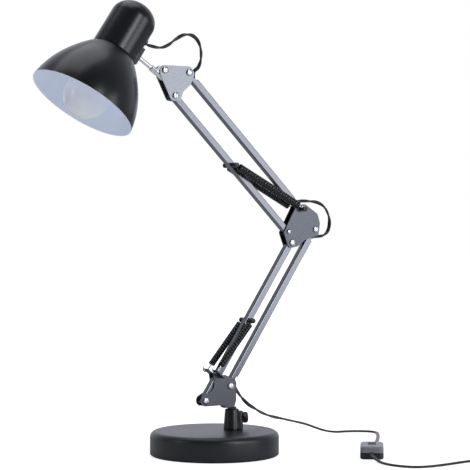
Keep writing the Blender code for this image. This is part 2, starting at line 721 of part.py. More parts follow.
def head_pieces(tilt, swivel):
    """Tilting link and rod, neck, shade, lamp holder, bulb and the small fittings."""
    down = -NECK_DIR
    side = NECK_DIR.cross(Vector((0.0, 1.0, 0.0)))
    neck_place = axes(NECK_FOOT, ROD_DIR, down)

    # link: an eye on the tilt bolt and a sleeve for the rod below it
    sleeve_end = ROD_START + ROD_DIR * 0.0160
    eye = rod(0.0062, PIVOT_A - Vector((0.0, PLATE_IN - GAP, 0.0)), PIVOT_A + Vector((0.0, PLATE_IN - GAP, 0.0)), 20)
    web = box((0.0124, 2 * (PLATE_IN - GAP), ROD_OFFSET), (0.0, 0.0, 0.0))
    web.matrix_world = axes(PIVOT_A + NECK_DIR * ROD_OFFSET / 2, ROD_DIR, NECK_DIR)
    boolean(eye, web, "UNION")
    barrel = rod(SLEEVE_RADIUS, ROD_START - ROD_DIR * 0.0066, sleeve_end, 20)
    boolean(eye, barrel, "UNION")
    boolean(eye, rod(HOLE, PIVOT_A - Vector((0.0, 0.01, 0.0)), PIVOT_A + Vector((0.0, 0.01, 0.0)), 12))
    boolean(eye, rod(ROD_RADIUS + GAP, ROD_START + ROD_DIR * 0.0040, sleeve_end + ROD_DIR * THIN, 14))
    piece(eye, "tilt_link", steel("link_chrome"), tilt)

    rod_line = ROD_START - NECK_FOOT
    reach = rod_line.dot(-ROD_DIR)
    neck_at = reach - NECK_RADIUS
    stalk = rod(ROD_RADIUS, ROD_START + ROD_DIR * (0.0040 + GAP), ROD_START + ROD_DIR * (neck_at + 0.0050), 16)
    piece(stalk, "tilt_rod", steel("rod_chrome"), tilt)

    # saddle: a block on the neck that the rod turns in
    skin = ROD_START + ROD_DIR * neck_at
    saddle = box((SADDLE_THICK, 0.0130, 0.0240))
    saddle.matrix_world = axes(skin - ROD_DIR * (GAP + SADDLE_THICK / 2), ROD_DIR, down)
    saddle = as_mesh(saddle)
    boolean(saddle, rod(ROD_RADIUS + GAP, skin - ROD_DIR * 0.012, skin + ROD_DIR * 0.002, 14))
    for at in (-0.0080, 0.0080):
        centre = skin + down * at
        boolean(saddle, rod(0.0015 + GAP, centre - ROD_DIR * 0.012, centre + ROD_DIR * 0.002, 10))
    piece(saddle, "rod_saddle", black_plastic("saddle_plastic"), swivel)
    screw_seat = GAP + SADDLE_THICK + GAP
    for at, label in ((-0.0080, "lower"), (0.0080, "upper")):
        profile = [(0.0, 0.0016), (0.0018, 0.0014), (0.0026, 0.0), (0.0015, 0.0),
                   (0.0015, -screw_seat - 0.003), (0.0, -screw_seat - 0.003)]
        screw = turned(profile, 12)
        screw.matrix_world = axes(skin + down * at - ROD_DIR * screw_seat, down, -ROD_DIR)
        piece(screw, f"saddle_screw_{label}", black_paint(f"saddle_screw_{label}_black"), swivel)

    # neck: domed cap, open at the foot
    dome = 0.0240
    top = NECK_LENGTH
    shoulder = [
        (NECK_RADIUS * math.sin(math.radians(a)), top - dome + dome * math.cos(math.radians(a)))
        for a in range(0, 91, 10)
    ]
    lining = [
        ((NECK_RADIUS - SHEET) * math.sin(math.radians(a)),
         top - dome + (dome - SHEET) * math.cos(math.radians(a)))
        for a in range(90, -1, -15)
    ]
    foot = GAP
    neck = turned([*shoulder, (NECK_RADIUS, foot), (NECK_RADIUS - SHEET, foot), *lining], 32)
    neck.matrix_world = neck_place
    neck = as_mesh(neck)
    boolean(neck, rod(ROD_RADIUS + GAP, skin - ROD_DIR * 0.004, skin + ROD_DIR * 0.012, 14))
    for at in (-0.0080, 0.0080):
        centre = skin + down * at
        boolean(neck, rod(0.0015 + GAP, centre - ROD_DIR * 0.004, centre + ROD_DIR * 0.006, 10))
    grommet_at = 0.0390
    grommet_skin = NECK_FOOT + down * grommet_at - ROD_DIR * NECK_RADIUS
    boolean(neck, rod(0.0030, grommet_skin - ROD_DIR * 0.004, grommet_skin + ROD_DIR * 0.006, 12))
    piece(neck, "neck_cap", black_paint("neck_enamel"), swivel)

    # shade: spun bell from the neck's foot to its rim
    def bell(offset):
        """Radius and distance below the neck's foot, from collar to rim."""
        points = []
        for i in range(10):
            t = i / 9
            rise = 1.0 - (1.0 - t) ** 2.1
            radius = NECK_RADIUS + (SHADE_RADIUS - NECK_RADIUS) * (0.25 * t + 0.75 * rise)
            points.append((radius + offset, -SHADE_DEPTH * t))
        return points

    collar = 0.0060
    inside_collar = NECK_RADIUS - SHEET - GAP
    outer = [(NECK_RADIUS, -GAP), *bell(0.0)[1:]]
    inner = list(reversed(bell(-SHEET)[1:]))
    profile = [
        (inside_collar, collar),
        (inside_collar, -GAP),
        *outer,
        *inner,
        (inside_collar - SHEET, -0.0030),
        (inside_collar - SHEET, collar),
    ]
    shade = turned(profile, 36)
    shade.matrix_world = neck_place
    piece(shade, "shade", black_paint("shade_enamel"), swivel)

    # lamp holder inside the neck, bulb cap in it and the bulb on the cap
    bulb_at = -(SHADE_DEPTH - BULB_BACK)
    cap_top = bulb_at + 0.0670
    holder = turned(
        [
            (0.0, cap_top + 0.0120),
            (0.0130, cap_top + 0.0120),
            (0.0175, cap_top + 0.0080),
            (0.0175, cap_top - 0.0260),
            (0.0140, cap_top - 0.0260),
            (0.0140, cap_top + GAP),
            (0.0, cap_top + GAP),
        ],
        24,
    )
    holder.matrix_world = neck_place
    piece(holder, "lamp_holder", black_plastic("holder_plastic"), swivel)
    cap = turned([(0.0, cap_top), (0.0060, cap_top), (0.0132, cap_top - 0.0040),
                  (0.0132, cap_top - 0.0240), (0.0112, cap_top - 0.0240),
                  (0.0112, cap_top - 0.0060), (0.0, cap_top - 0.0040)], 24)
    cap.matrix_world = neck_place
    piece(cap, "bulb_cap", steel("cap_metal"), swivel)
    neck_low = cap_top - 0.0240 - GAP
    glass = [(0.0125, neck_low), (0.0140, neck_low - 0.0060)]
    lining = [(0.0115, neck_low), (0.0130, neck_low - 0.0060)]
    first = math.degrees(math.asin(0.0190 / BULB_RADIUS))
    for outline, radius in ((glass, BULB_RADIUS), (lining, BULB_RADIUS - 0.0010)):
        for i in range(9):
            a = math.radians(first + (180 - first) * i / 8)
            outline.append((radius * math.sin(a) if i < 8 else 0.0, bulb_at + radius * math.cos(a)))
    bulb = turned(glass + list(reversed(lining)), 24)
    bulb.matrix_world = neck_place
    piece(bulb, "bulb_glass", material("bulb_opal", (0.85, 0.85, 0.83), 0.3, 0.0, 0.2), swivel)

    grommet = turned([(0.0046, 0.0018), (0.0046, 0.0), (0.0026, 0.0), (0.0026, -0.0028),
                      (CORD + GAP, -0.0028), (CORD + GAP, 0.0018)], 14)
    grommet.matrix_world = axes(grommet_skin - ROD_DIR * GAP, down, -ROD_DIR)
    piece(grommet, "cord_grommet", black_plastic("grommet_rubber"), swivel)
    return grommet_skin


# ---------------------------------------------------------------- cords and switch


def slot_mouth(pivot, along, lean):
    """Where the cord leaves a rear bar beside its pivot, and which way it points."""
    side = Vector((along.z, 0.0, -along.x))
    sign = 1.0 if lean > 0 else -1.0
    place = pivot + along * (0.0100 * sign) + side * 0.0046
    heading = (side * 0.75 - along * (0.66 * sign)).normalized()
    return place, heading, side


def cord_run(name, start, along, length, parent):
    """The flex inside a rear bar, from one slot's mouth to the other's."""
    low, low_dir, side = slot_mouth(start, along, 1)
    high, high_dir, side = slot_mouth(start + along * length, along, -1)
    points = [low, low - low_dir * 0.0040, start + along * 0.0200 + side * 0.0004]
    points += [start + along * (length * share) for share in (0.25, 0.5, 0.75)]
    points += [start + along * (length - 0.0200) + side * 0.0004, high - high_dir * 0.0040, high]
    run = wire(smooth_line(points, 0.0070), CORD)
    piece(run, name, black_plastic(name + "_sheath"), parent)


def cord_pieces(bodies, grommet_skin):
    """Every stretch of the flex, with its switch and plug."""
    cord_run("cord_upper_run", PIVOT_E, UPPER_DIR, UPPER_ARM, bodies["upper_rear"])
    cord_run("cord_lower_run", PIVOT_I, LOWER_DIR, LOWER_ARM, bodies["lower_rear"])

    low, low_dir, _ = slot_mouth(PIVOT_B, UPPER_DIR, -1)
    start = grommet_skin - ROD_DIR * 0.0024
    head_loop = [
        start,
        start - ROD_DIR * 0.0040,
        (-0.0840, 0.0, 0.5352),
        (-0.0720, 0.0, 0.5388),
        (-0.0600, 0.0, 0.5470),
        (-0.0480, 0.0, 0.5535),
        (-0.0360, 0.0, 0.5540),
        (-0.0265, 0.0, 0.5480),
        (-0.0215, 0.0, 0.5370),
        (-0.0210, 0.0, 0.5240),
        (-0.0250, 0.0, 0.5125),
        low + low_dir * 0.0060,
        low + low_dir * 2 * GAP,
    ]
    loop = wire(smooth_line(head_loop, 0.0060), CORD)
    piece(loop, "cord_head_loop", black_plastic("head_loop_sheath"), bodies["head"])

    top, top_dir, _ = slot_mouth(PIVOT_E, UPPER_DIR, 1)
    low, low_dir, _ = slot_mouth(PIVOT_G, LOWER_DIR, -1)
    elbow_loop = [
        top + top_dir * 2 * GAP,
        top + top_dir * 0.0080,
        (0.1560, 0.0, 0.3366),
        (0.1690, 0.0, 0.3345),
        (0.1800, 0.0, 0.3282),
        (0.1870, 0.0, 0.3170),
        (0.1885, 0.0, 0.3060),
        (0.1855, 0.0, 0.2955),
        (0.1780, 0.0, 0.2895),
        low + low_dir * 0.0080,
        low + low_dir * 2 * GAP,
    ]
    loop = wire(smooth_line(elbow_loop, 0.0060), CORD)
    piece(loop, "cord_elbow_loop", black_plastic("elbow_loop_sheath"), bodies["elbow"])

    low, low_dir, _ = slot_mouth(PIVOT_I, LOWER_DIR, 1)
    hang = [
        low + low_dir * 2 * GAP,
        (0.0336, 0.0010, 0.0890),
        (0.0372, 0.0040, 0.0838),
        (0.0430, 0.0078, 0.0786),
        (0.0500, 0.0116, 0.0728),
        (0.0580, 0.0155, 0.0666),
        (0.0680, 0.0203, 0.0602),
        (0.0800, 0.0258, 0.0544),
        (0.0970, 0.0335, 0.0468),
        (0.1210, 0.0442, 0.0388),
        (0.1530, 0.0580, 0.0312),
        (0.1820, 0.0705, 0.0244),
        (0.2070, 0.0805, 0.0180),
    ]
    piece(wire(smooth_line(hang, 0.0075), CORD), "cord_hang",
          black_plastic("hang_sheath"), bodies["swivel"])
    floor = CORD + 0.0002
    back = SWITCH_PLACE + turned_xy((SWITCH_SIZE[0] / 2, 0.0), SWITCH_TURN)
    front = SWITCH_PLACE - turned_xy((SWITCH_SIZE[0] / 2, 0.0), SWITCH_TURN)
    cord_level = SWITCH_SIZE[2] / 2
    back_out = turned_xy((1.0, 0.0), SWITCH_TURN)
    heading = Vector((0.2070, 0.0805, 0.0180)) - Vector((0.1820, 0.0705, 0.0244))
    floor_route = [
        Vector((0.2070, 0.0805, 0.0180)) + heading.normalized() * GAP,
        (0.2300, 0.0885, 0.0106),
        (0.2500, 0.0930, 0.0046),
        (0.2680, 0.0930, floor),
        (0.2840, 0.0895, floor),
        (0.2990, 0.0830, floor),
        (0.3110, 0.0725, floor),
        (0.3135, 0.0570, floor),
        (0.3040, 0.0400, floor),
        (0.2870, 0.0170, floor),
        (0.2640, -0.0110, floor),
        (0.2390, -0.0400, floor),
        (0.2180, -0.0650, floor + 0.0006),
        back + back_out * 0.0140 + Vector((0.0, 0.0, cord_level - 0.0012)),
        back + back_out * GAP + Vector((0.0, 0.0, cord_level)),
    ]
    piece(wire(smooth_line(floor_route, 0.0085), CORD), "cord_floor", black_plastic("floor_sheath"))

    coil_outer = COIL_MEAN + COIL_COLUMN / 2
    tail_end = COIL_PLACE + Vector((-0.0150, coil_outer + 0.0040, 0.0))
    tail_route = [
        front - back_out * GAP + Vector((0.0, 0.0, cord_level)),
        front - back_out * 0.0100 + Vector((0.0, 0.0, cord_level - 0.0012)),
        (0.1340, -0.1830, floor + 0.0006),
        (0.1305, -0.2030, floor),
        (0.1325, -0.2230, floor),
        (0.1400, -0.2390, floor),
        (0.1540, -0.2475, floor),
        (0.1750, -0.2490, floor),
        (0.2000, -0.2460, floor),
        (0.2250, -0.2420, floor),
        (0.2500, -0.2395, floor),
        (tail_end.x, tail_end.y, floor),
    ]
    piece(wire(smooth_line(tail_route, 0.0085), CORD), "cord_tail", black_plastic("tail_sheath"))

    inner, outer = COIL_MEAN - COIL_COLUMN / 2, coil_outer
    coil = turned([(inner, COIL_HIGH), (outer, COIL_HIGH), (outer, floor - CORD), (inner, floor - CORD)], 32)
    coil.location = COIL_PLACE
    piece(coil, "cord_coil", black_plastic("coil_sheath"))

    switch_pieces(cord_level)
    plug_pieces(floor)


def turned_xy(place, angle):
    """(x, y) turned about Z, as a vector."""
    return Matrix.Rotation(angle, 3, "Z") @ Vector((place[0], place[1], 0.0))


def switch_pieces(cord_level):
    """In-line rocker switch: two shells and a rocker."""
    long, wide, high = SWITCH_SIZE
    split = high * 0.5
    wall = 0.0016
    place = Matrix.Translation(SWITCH_PLACE) @ Matrix.Rotation(SWITCH_TURN, 4, "Z")
    outline = rounded([(-long / 2, -wide / 2, 0.0060), (long / 2, -wide / 2, 0.0060),
                       (long / 2, wide / 2, 0.0060), (-long / 2, wide / 2, 0.0060)])
    room = (long - 2 * wall - 0.0060, wide - 2 * wall - 0.0040, split)
    ends = as_mesh(rod(CORD + GAP, (-long, 0.0, cord_level), (long, 0.0, cord_level), 12))
    for name, low, colour in (
        ("switch_base", 0.0, black_plastic("switch_base_plastic")),
        ("switch_cover", split + GAP, material("switch_cover_plastic", (0.20, 0.20, 0.21), 0.4)),
    ):
        tall = split if low == 0.0 else high - split - GAP
        shell = as_mesh(flat([outline], tall), Matrix.Translation((0.0, 0.0, low + tall / 2)))
        shell.matrix_world = place
        inside = box(room, (0.0, 0.0, wall + split / 2 if low == 0.0 else split - wall + GAP))
        inside.matrix_world = place
        boolean(shell, inside)
        groove = as_mesh(rod(CORD + GAP, (-long, 0.0, cord_level), (long, 0.0, cord_level), 12))
        groove.matrix_world = place
        boolean(shell, groove)
        if low > 0.0:
            window = box((0.0180, 0.0110, 0.0200), (0.0, 0.0, high))
            window.matrix_world = place
            boolean(shell, window)
        piece(shell, name, colour)
    bpy.data.objects.remove(ends, do_unlink=True)

    rocker_at = SWITCH_PLACE + Vector((0.0, 0.0, high - 0.0010))
    axis = pivot_empty("rocker_axis", rocker_at)
    half = 0.0180 / 2 - 0.0008
    outline = [(-half, 0.0008), (-half, -0.0022), (half, -0.0022), (half, 0.0026), (0.0, 0.0012)]
    rocker = as_mesh(flat([outline], 0.0110 - 2 * GAP))
    rocker.matrix_world = (
        Matrix.Translation(rocker_at)
        @ Matrix.Rotation(SWITCH_TURN, 4, "Z")
        @ UPRIGHT
    )
    piece(rocker, "switch_rocker", black_plastic("rocker_plastic"), axis)


def plug_pieces(floor):
    """Moulded two-pin plug beside the coil, and the lead to it."""
    long, wide, high = PLUG_SIZE
    place = Matrix.Translation(PLUG_PLACE) @ Matrix.Rotation(PLUG_TURN, 4, "Z")
    outline = rounded([(-long / 2, -0.0050, 0.0030), (0.0, -wide / 2, 0.0060),
                       (long / 2, -wide / 2, 0.0020), (long / 2, wide / 2, 0.0020),
                       (0.0, wide / 2, 0.0060), (-long / 2, 0.0050, 0.0030)], 4)
    body = as_mesh(flat([outline], high), Matrix.Translation((0.0, 0.0, high / 2 + THIN)))
    body.matrix_world = place
    socket = box((0.0120, 0.0180, 0.0060), (long / 2 - 0.0040, 0.0, high / 2 + THIN))
    socket.matrix_world = place
    boolean(body, socket)
    relief = as_mesh(rod(0.0024, (-long / 2 - RELIEF, 0.0, 0.0044), (-long / 2 + 0.0020, 0.0, high / 2 + THIN), 16, 0.0042))
    relief.matrix_world = place
    boolean(body, relief, "UNION")
    piece(body, "plug_body", black_plastic("plug_rubber"))
    carrier = box((0.0080 - GAP, 0.0180 - 2 * GAP, 0.0060 - 2 * GAP),
                  (long / 2 - 0.0050, 0.0, high / 2 + THIN))
    carrier.matrix_world = place
    for side in (-1, 1):
        blade = box((0.0200, 0.0016, 0.0050), (long / 2 + 0.0060, side * 0.00635, high / 2 + THIN))
        blade.matrix_world = place
        boolean(carrier, blade, "UNION")
    piece(carrier, "plug_pins", material("pin_brass", (0.60, 0.50, 0.30), 0.3, 1.0))


# ---------------------------------------------------------------- the lamp


def build():
    base_pieces()

    swivel = pivot_empty("arm_swivel_axis", (POST_X, 0.0, POST_TOP))
    lower_bracket(swivel)
    front = pivot_empty("lower_front_axis", PIVOT_H, swivel)
    rear = pivot_empty("lower_rear_axis", PIVOT_G, front)
    slot = math.radians(14)
    bar("lower_front_bar", PIVOT_H, LOWER_DIR, LOWER_ARM, [], front, LOWER_PIN_AT)
    bar("lower_rear_bar", PIVOT_I, LOWER_DIR, LOWER_ARM,
        [(0.0115, slot), (LOWER_ARM - 0.0115, -slot)], rear)
    spring_pin("lower_spring_pin", LOWER_PIN, BAR / 2 + GAP, front)
    spring_set("lower", EAR_HOLE, LOWER_PIN, LOWER_COIL,
               pivot_empty("lower_hook_axis", EAR_HOLE, swivel),
               pivot_empty("lower_spring_axis", LOWER_PIN, front), True)

    joint = pivot_empty("elbow_axis", PIVOT_F, front)
    elbow(joint)
    upper = pivot_empty("upper_front_axis", PIVOT_D, joint)
    bracket = pivot_empty("head_bracket_axis", PIVOT_C, upper)
    head_bracket(bracket)
    upper_rear = pivot_empty("upper_rear_axis", PIVOT_B, bracket)
    bar("upper_front_bar", PIVOT_D, UPPER_DIR, UPPER_ARM, [], upper, UPPER_PIN_AT)
    bar("upper_rear_bar", PIVOT_E, UPPER_DIR, UPPER_ARM,
        [(0.0115, slot), (UPPER_ARM - 0.0115, -slot)], upper_rear)
    spring_pin("upper_spring_pin", UPPER_PIN, BAR / 2 + GAP, upper)
    spring_set("upper", PIVOT_E, UPPER_PIN, UPPER_COIL,
               pivot_empty("upper_hook_axis", PIVOT_E, joint),
               pivot_empty("upper_spring_axis", UPPER_PIN, upper), False)

    tilt = pivot_empty("head_tilt_axis", PIVOT_A, bracket)
    turn = pivot_empty("head_turn_axis", ROD_START, tilt)
    grommet_skin = head_pieces(tilt, turn)

    cord_pieces(
        {"upper_rear": upper_rear, "lower_rear": rear, "head": bracket,
         "elbow": joint, "swivel": swivel},
        grommet_skin,
    )
    for obj in PARTS.objects:
        if obj.type == "MESH":
            obj.data.shade_smooth()
            obj.data.set_sharp_from_angle(angle=math.radians(35))


build()
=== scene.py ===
"""Swing arm desk lamp: the finished pieces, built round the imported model."""

import json
import math

import bmesh
import bpy
from mathutils import Matrix, Vector


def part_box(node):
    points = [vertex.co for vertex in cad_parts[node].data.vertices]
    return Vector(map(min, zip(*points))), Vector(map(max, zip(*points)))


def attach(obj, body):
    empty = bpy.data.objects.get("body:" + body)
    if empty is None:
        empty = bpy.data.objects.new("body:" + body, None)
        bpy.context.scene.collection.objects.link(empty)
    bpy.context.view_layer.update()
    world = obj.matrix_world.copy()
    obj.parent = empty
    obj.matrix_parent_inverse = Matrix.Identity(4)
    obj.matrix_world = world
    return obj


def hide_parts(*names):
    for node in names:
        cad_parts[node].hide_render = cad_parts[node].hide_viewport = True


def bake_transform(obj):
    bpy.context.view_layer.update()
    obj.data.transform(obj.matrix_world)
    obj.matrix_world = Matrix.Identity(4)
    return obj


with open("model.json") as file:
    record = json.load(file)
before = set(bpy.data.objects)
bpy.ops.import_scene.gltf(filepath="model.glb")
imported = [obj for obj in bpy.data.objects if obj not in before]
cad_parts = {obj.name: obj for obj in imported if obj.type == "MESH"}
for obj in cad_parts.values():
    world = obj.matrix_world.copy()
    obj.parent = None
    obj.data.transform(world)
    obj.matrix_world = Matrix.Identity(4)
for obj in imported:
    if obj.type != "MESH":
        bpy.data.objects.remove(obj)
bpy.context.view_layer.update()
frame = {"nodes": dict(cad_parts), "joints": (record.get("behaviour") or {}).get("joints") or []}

nodes = frame["nodes"]
pivot = {joint["name"]: Vector(joint["pos_m"]) for joint in frame["joints"]}

# ------------------------------------------------------------------ camera
# Stands a little above the base's height, to the lamp's near left, with a long lens.



def placed(name, data):
    """A new object with this data, in the scene."""
    thing = bpy.data.objects.new(name, data)
    bpy.context.scene.collection.objects.link(thing)
    return thing


turn, dip = math.radians(33.07), math.radians(0.78)
looking = Vector((math.sin(turn) * math.cos(dip), math.cos(turn) * math.cos(dip), -math.sin(dip)))
standing = Vector((-1.2367, -1.9493, 0.3228))
camera = placed("camera", bpy.data.cameras.new("camera"))
camera.data.lens, camera.data.sensor_width = 133.4, 36.0
camera.data.clip_end = 50.0
camera.matrix_world = (
    Matrix.Translation(standing) @ looking.to_track_quat("-Z", "Y").to_matrix().to_4x4()
)
bpy.context.scene.camera = camera
bpy.context.view_layer.update()

# ------------------------------------------------------------------ flex
# Black two-core flat flex, 5 mm wide, with a groove along its middle.  It runs from the
# foot of the lower rear bar over the base to the table, through the in-line switch and on
# to a small hank with the plug.


def smooth_line(points, spacing):
    """Points a spacing apart on a smooth curve through the given ones."""
    knots = [Vector(p) for p in points]
    knots = [2 * knots[0] - knots[1], *knots, 2 * knots[-1] - knots[-2]]
    fine = []
    for a, b, c, d in zip(knots, knots[1:], knots[2:], knots[3:]):
        for step in range(24):
            t = step / 24
            fine.append(0.5 * (2 * b + (c - a) * t + (2 * a - 5 * b + 4 * c - d) * t * t
                               + (3 * b - a - 3 * c + d) * t * t * t))
    fine.append(knots[-2])
    lengths = [0.0]
    for a, b in zip(fine, fine[1:]):
        lengths.append(lengths[-1] + (b - a).length)
    count = max(2, round(lengths[-1] / spacing))
    line, at = [], 0
    for i in range(count + 1):
        target = lengths[-1] * i / count
        while at < len(fine) - 2 and lengths[at + 1] < target:
            at += 1
        share = (target - lengths[at]) / max(lengths[at + 1] - lengths[at], 1e-9)
        line.append(fine[at].lerp(fine[at + 1], share))
    return line


def finished(name, bm, sharp=35.0):
    """Makes the mesh a piece with its place in its vertices and its faces smooth."""
    bmesh.ops.remove_doubles(bm, verts=bm.verts, dist=0.000004)
    bmesh.ops.recalc_face_normals(bm, faces=bm.faces)
    mesh = bpy.data.meshes.new(name)
    bm.to_mesh(mesh)
    bm.free()
    mesh.shade_smooth()
    mesh.set_sharp_from_angle(angle=math.radians(sharp))
    return placed(name, mesh)


def skin(bm, rings):
    """Faces between each ring of vertices and the next."""
    for first, second in zip(rings, rings[1:]):
        for k in range(len(first)):
            j = (k + 1) % len(first)
            bm.faces.new((first[k], first[j], second[j], second[k]))


def swept(name, line, section, across, closed=False):
    """A tube along line with this section, whose local X stays near the direction across.

    across is one vector, or a function from a share of the length to a vector.
    """
    bm = bmesh.new()
    along = bm.loops.layers.uv.new("along")
    rings, travelled, marks = [], 0.0, []
    for i, place in enumerate(line):
        before = line[i - 1] if i else (line[-2] if closed else place)
        after = line[i + 1] if i < len(line) - 1 else (line[1] if closed else place)
        tangent = (after - before).normalized()
        hint = across(i / (len(line) - 1)) if callable(across) else across
        side = (hint - tangent * hint.dot(tangent)).normalized()
        up = tangent.cross(side)
        rings.append([bm.verts.new(place + side * x + up * y) for x, y in section])
        if i:
            travelled += (place - line[i - 1]).length
        marks.append(travelled)
    count = len(section)
    pairs = list(zip(rings, rings[1:], marks, marks[1:]))
    for first, second, low, high in pairs:
        for k in range(count):
            j = (k + 1) % count
            face = bm.faces.new((first[k], first[j], second[j], second[k]))
            for loop, uv in zip(face.loops, ((k, low), (k + 1, low), (k + 1, high), (k, high))):
                loop[along].uv = (uv[0] / count, uv[1])
    if not closed:
        bm.faces.new(reversed(rings[0]))
        bm.faces.new(rings[-1])
    return finished(name, bm, 60.0)


FLEX_WIDTH, FLEX_THICK = 0.0050, 0.0028


def twin_section(width, thick, steps=7):
    """Two round cores side by side with a shallow web between them."""
    core, points = thick / 2, []
    centre = width / 2 - core
    for lobe, first in ((1, -125), (-1, 55)):
        for i in range(steps + 1):
            a = math.radians(first + 250 * i / steps)
            points.append((lobe * centre + core * math.cos(a), core * math.sin(a)))
    return points


flex_section = twin_section(FLEX_WIDTH, FLEX_THICK)
lower_foot = pivot["lower_arm"] + (pivot["lower_rear_bar_turn"] - pivot["elbow_turn"])
lower_way = (pivot["elbow_turn"] - pivot["lower_arm"]).normalized()
upper_way = (pivot["head_bracket_turn"] - pivot["upper_arm"]).normalized()
upper_foot = pivot["upper_arm"] + (pivot["upper_rear_bar_turn"] - pivot["head_bracket_turn"])


def slot_mouth(pin, way, end):
    """Where the flex leaves a rear bar near its pin, and which way; end is 1 or -1."""
    side = Vector((way.z, 0.0, -way.x))
    place = pin + way * (0.0100 * end) + side * 0.0046
    return place, (side * 0.75 - way * (0.66 * end)).normalized()


switch_low, switch_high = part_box("switch_base")
switch_middle = Vector(((switch_low.x + switch_high.x) / 2, (switch_low.y + switch_high.y) / 2, 0.0))
switch_turn = math.radians(52.4)
switch_way = Vector((math.cos(switch_turn), math.sin(switch_turn), 0.0))
SWITCH_LONG, SWITCH_WIDE, SWITCH_HIGH = 0.057, 0.0305, 0.0165
flex_level = SWITCH_HIGH / 2
table_level = FLEX_THICK / 2 + 0.0003

leaves, leaving = slot_mouth(lower_foot, lower_way, 1)
back = switch_middle + switch_way * (SWITCH_LONG / 2)
front = switch_middle - switch_way * (SWITCH_LONG / 2)
lamp_route = [
    leaves + leaving * 0.0006,
    (0.0336, 0.0010, 0.0890),
    (0.0372, 0.0040, 0.0838),
    (0.0430, 0.0078, 0.0786),
    (0.0500, 0.0116, 0.0728),
    (0.0580, 0.0155, 0.0666),
    (0.0680, 0.0203, 0.0602),
    (0.0800, 0.0258, 0.0544),
    (0.0970, 0.0335, 0.0468),
    (0.1210, 0.0442, 0.0388),
    (0.1530, 0.0580, 0.0312),
    (0.1820, 0.0705, 0.0244),
    (0.2070, 0.0805, 0.0180),
    (0.2300, 0.0885, 0.0106),
    (0.2500, 0.0930, 0.0046),
    (0.2680, 0.0930, table_level),
    (0.2840, 0.0895, table_level),
    (0.2990, 0.0830, table_level),
    (0.3110, 0.0725, table_level),
    (0.3135, 0.0570, table_level),
    (0.3040, 0.0400, table_level),
    (0.2870, 0.0170, table_level),
    (0.2640, -0.0110, table_level),
    (0.2390, -0.0400, table_level),
    (0.2180, -0.0650, table_level + 0.0006),
    back + switch_way * 0.0140 + Vector((0.0, 0.0, flex_level - 0.0012)),
    back - switch_way * 0.0020 + Vector((0.0, 0.0, flex_level)),
]
lamp_line = smooth_line(lamp_route, 0.0030)


def lying_flat(line, start=Vector((0.0, 1.0, 0.0)), settle=0.25, roll=0.0, waves=0.0):
    """The flex's width direction: from start it rolls a little, then lies level on the table."""

    def across(share):
        i = min(int(share * (len(line) - 1)), len(line) - 2)
        tangent = (line[i + 1] - line[i]).normalized()
        level = Vector((-tangent.y, tangent.x, 0.0)).normalized()
        ease = min(1.0, share / settle) if settle else 1.0
        ease = ease * ease * (3 - 2 * ease)
        lean = roll * math.sin(2 * math.pi * waves * share) * (1 - ease)
        return Matrix.Rotation(lean, 3, tangent) @ start.lerp(level, ease)

    return across


def rolling(line, roll, waves, start=Vector((0.0, 1.0, 0.0))):
    """The flex's width direction in a free loop: it rolls to and fro about its length."""

    def across(share):
        i = min(int(share * (len(line) - 1)), len(line) - 2)
        tangent = (line[i + 1] - line[i]).normalized()
        lean = roll * math.sin(2 * math.pi * waves * share)
        return Matrix.Rotation(lean, 3, tangent) @ start

    return across


lamp_flex = swept("lamp_flex", lamp_line, flex_section,
                  lying_flat(lamp_line, settle=0.45, roll=1.25, waves=7.5))

coil_low, coil_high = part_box("cord_coil")
coil_middle = Vector(((coil_low.x + coil_high.x) / 2, (coil_low.y + coil_high.y) / 2, 0.0))
coil_outer = (coil_high.x - coil_low.x) / 2
joins = coil_middle + Vector((-0.0150, coil_outer + 0.0040, 0.0))
tail_route = [
    front + switch_way * 0.0020 + Vector((0.0, 0.0, flex_level)),
    front - switch_way * 0.0100 + Vector((0.0, 0.0, flex_level - 0.0012)),
    (0.1340, -0.1830, table_level + 0.0006),
    (0.1305, -0.2030, table_level),
    (0.1325, -0.2230, table_level),
    (0.1400, -0.2390, table_level),
    (0.1540, -0.2475, table_level),
    (0.1750, -0.2490, table_level),
    (0.2000, -0.2460, table_level),
    (0.2250, -0.2420, table_level),
    (0.2500, -0.2395, table_level),
    (joins.x, joins.y, table_level),
]
# The rest is wound flat: a spiral inwards on the table, then one outwards on top of it.
LAYER = FLEX_THICK + 0.0002
plug_turn = math.radians(-30)
plug_way = Vector((math.cos(plug_turn), math.sin(plug_turn), 0.0))
PLUG_LONG, RELIEF, PLUG_AXIS = 0.032, 0.022, 0.0066
plug_middle = Vector((0.3566, -0.2842, 0.0))
PITCH, OUTERMOST, STEPS = 0.0052, coil_outer - 0.0026, 24
TURNS_IN, TURNS = 2.3, 5 + 38 / 360
wound = []
for step in range(round(TURNS * STEPS) + 1):
    done = min(step / STEPS, TURNS)
    angle = math.radians(98) - 2 * math.pi * done
    radius = OUTERMOST - PITCH * min(done, TURNS_IN) + PITCH * max(0.0, done - TURNS_IN)
    climb = min(1.0, max(0.0, (done - 1.85) / 0.45))
    rise = climb * climb * (3 - 2 * climb)
    wound.append(coil_middle + Vector((radius * math.cos(angle), radius * math.sin(angle),
                                       table_level + rise * LAYER)))
leads_out = [
    plug_middle - plug_way * 0.0440 + Vector((0.0, 0.0, table_level + LAYER + 0.0002)),
    plug_middle - plug_way * 0.0300 + Vector((0.0, 0.0, PLUG_AXIS - 0.0008)),
    plug_middle - plug_way * 0.0120 + Vector((0.0, 0.0, PLUG_AXIS)),
]
tail_line = smooth_line(tail_route[:-1], 0.0030) + smooth_line(
    [tail_route[-2], tail_route[-1], *wound[1:], *leads_out], 0.0030
)[1:]
tail_flex = swept("tail_flex", tail_line, flex_section, lying_flat(tail_line, settle=0.0))


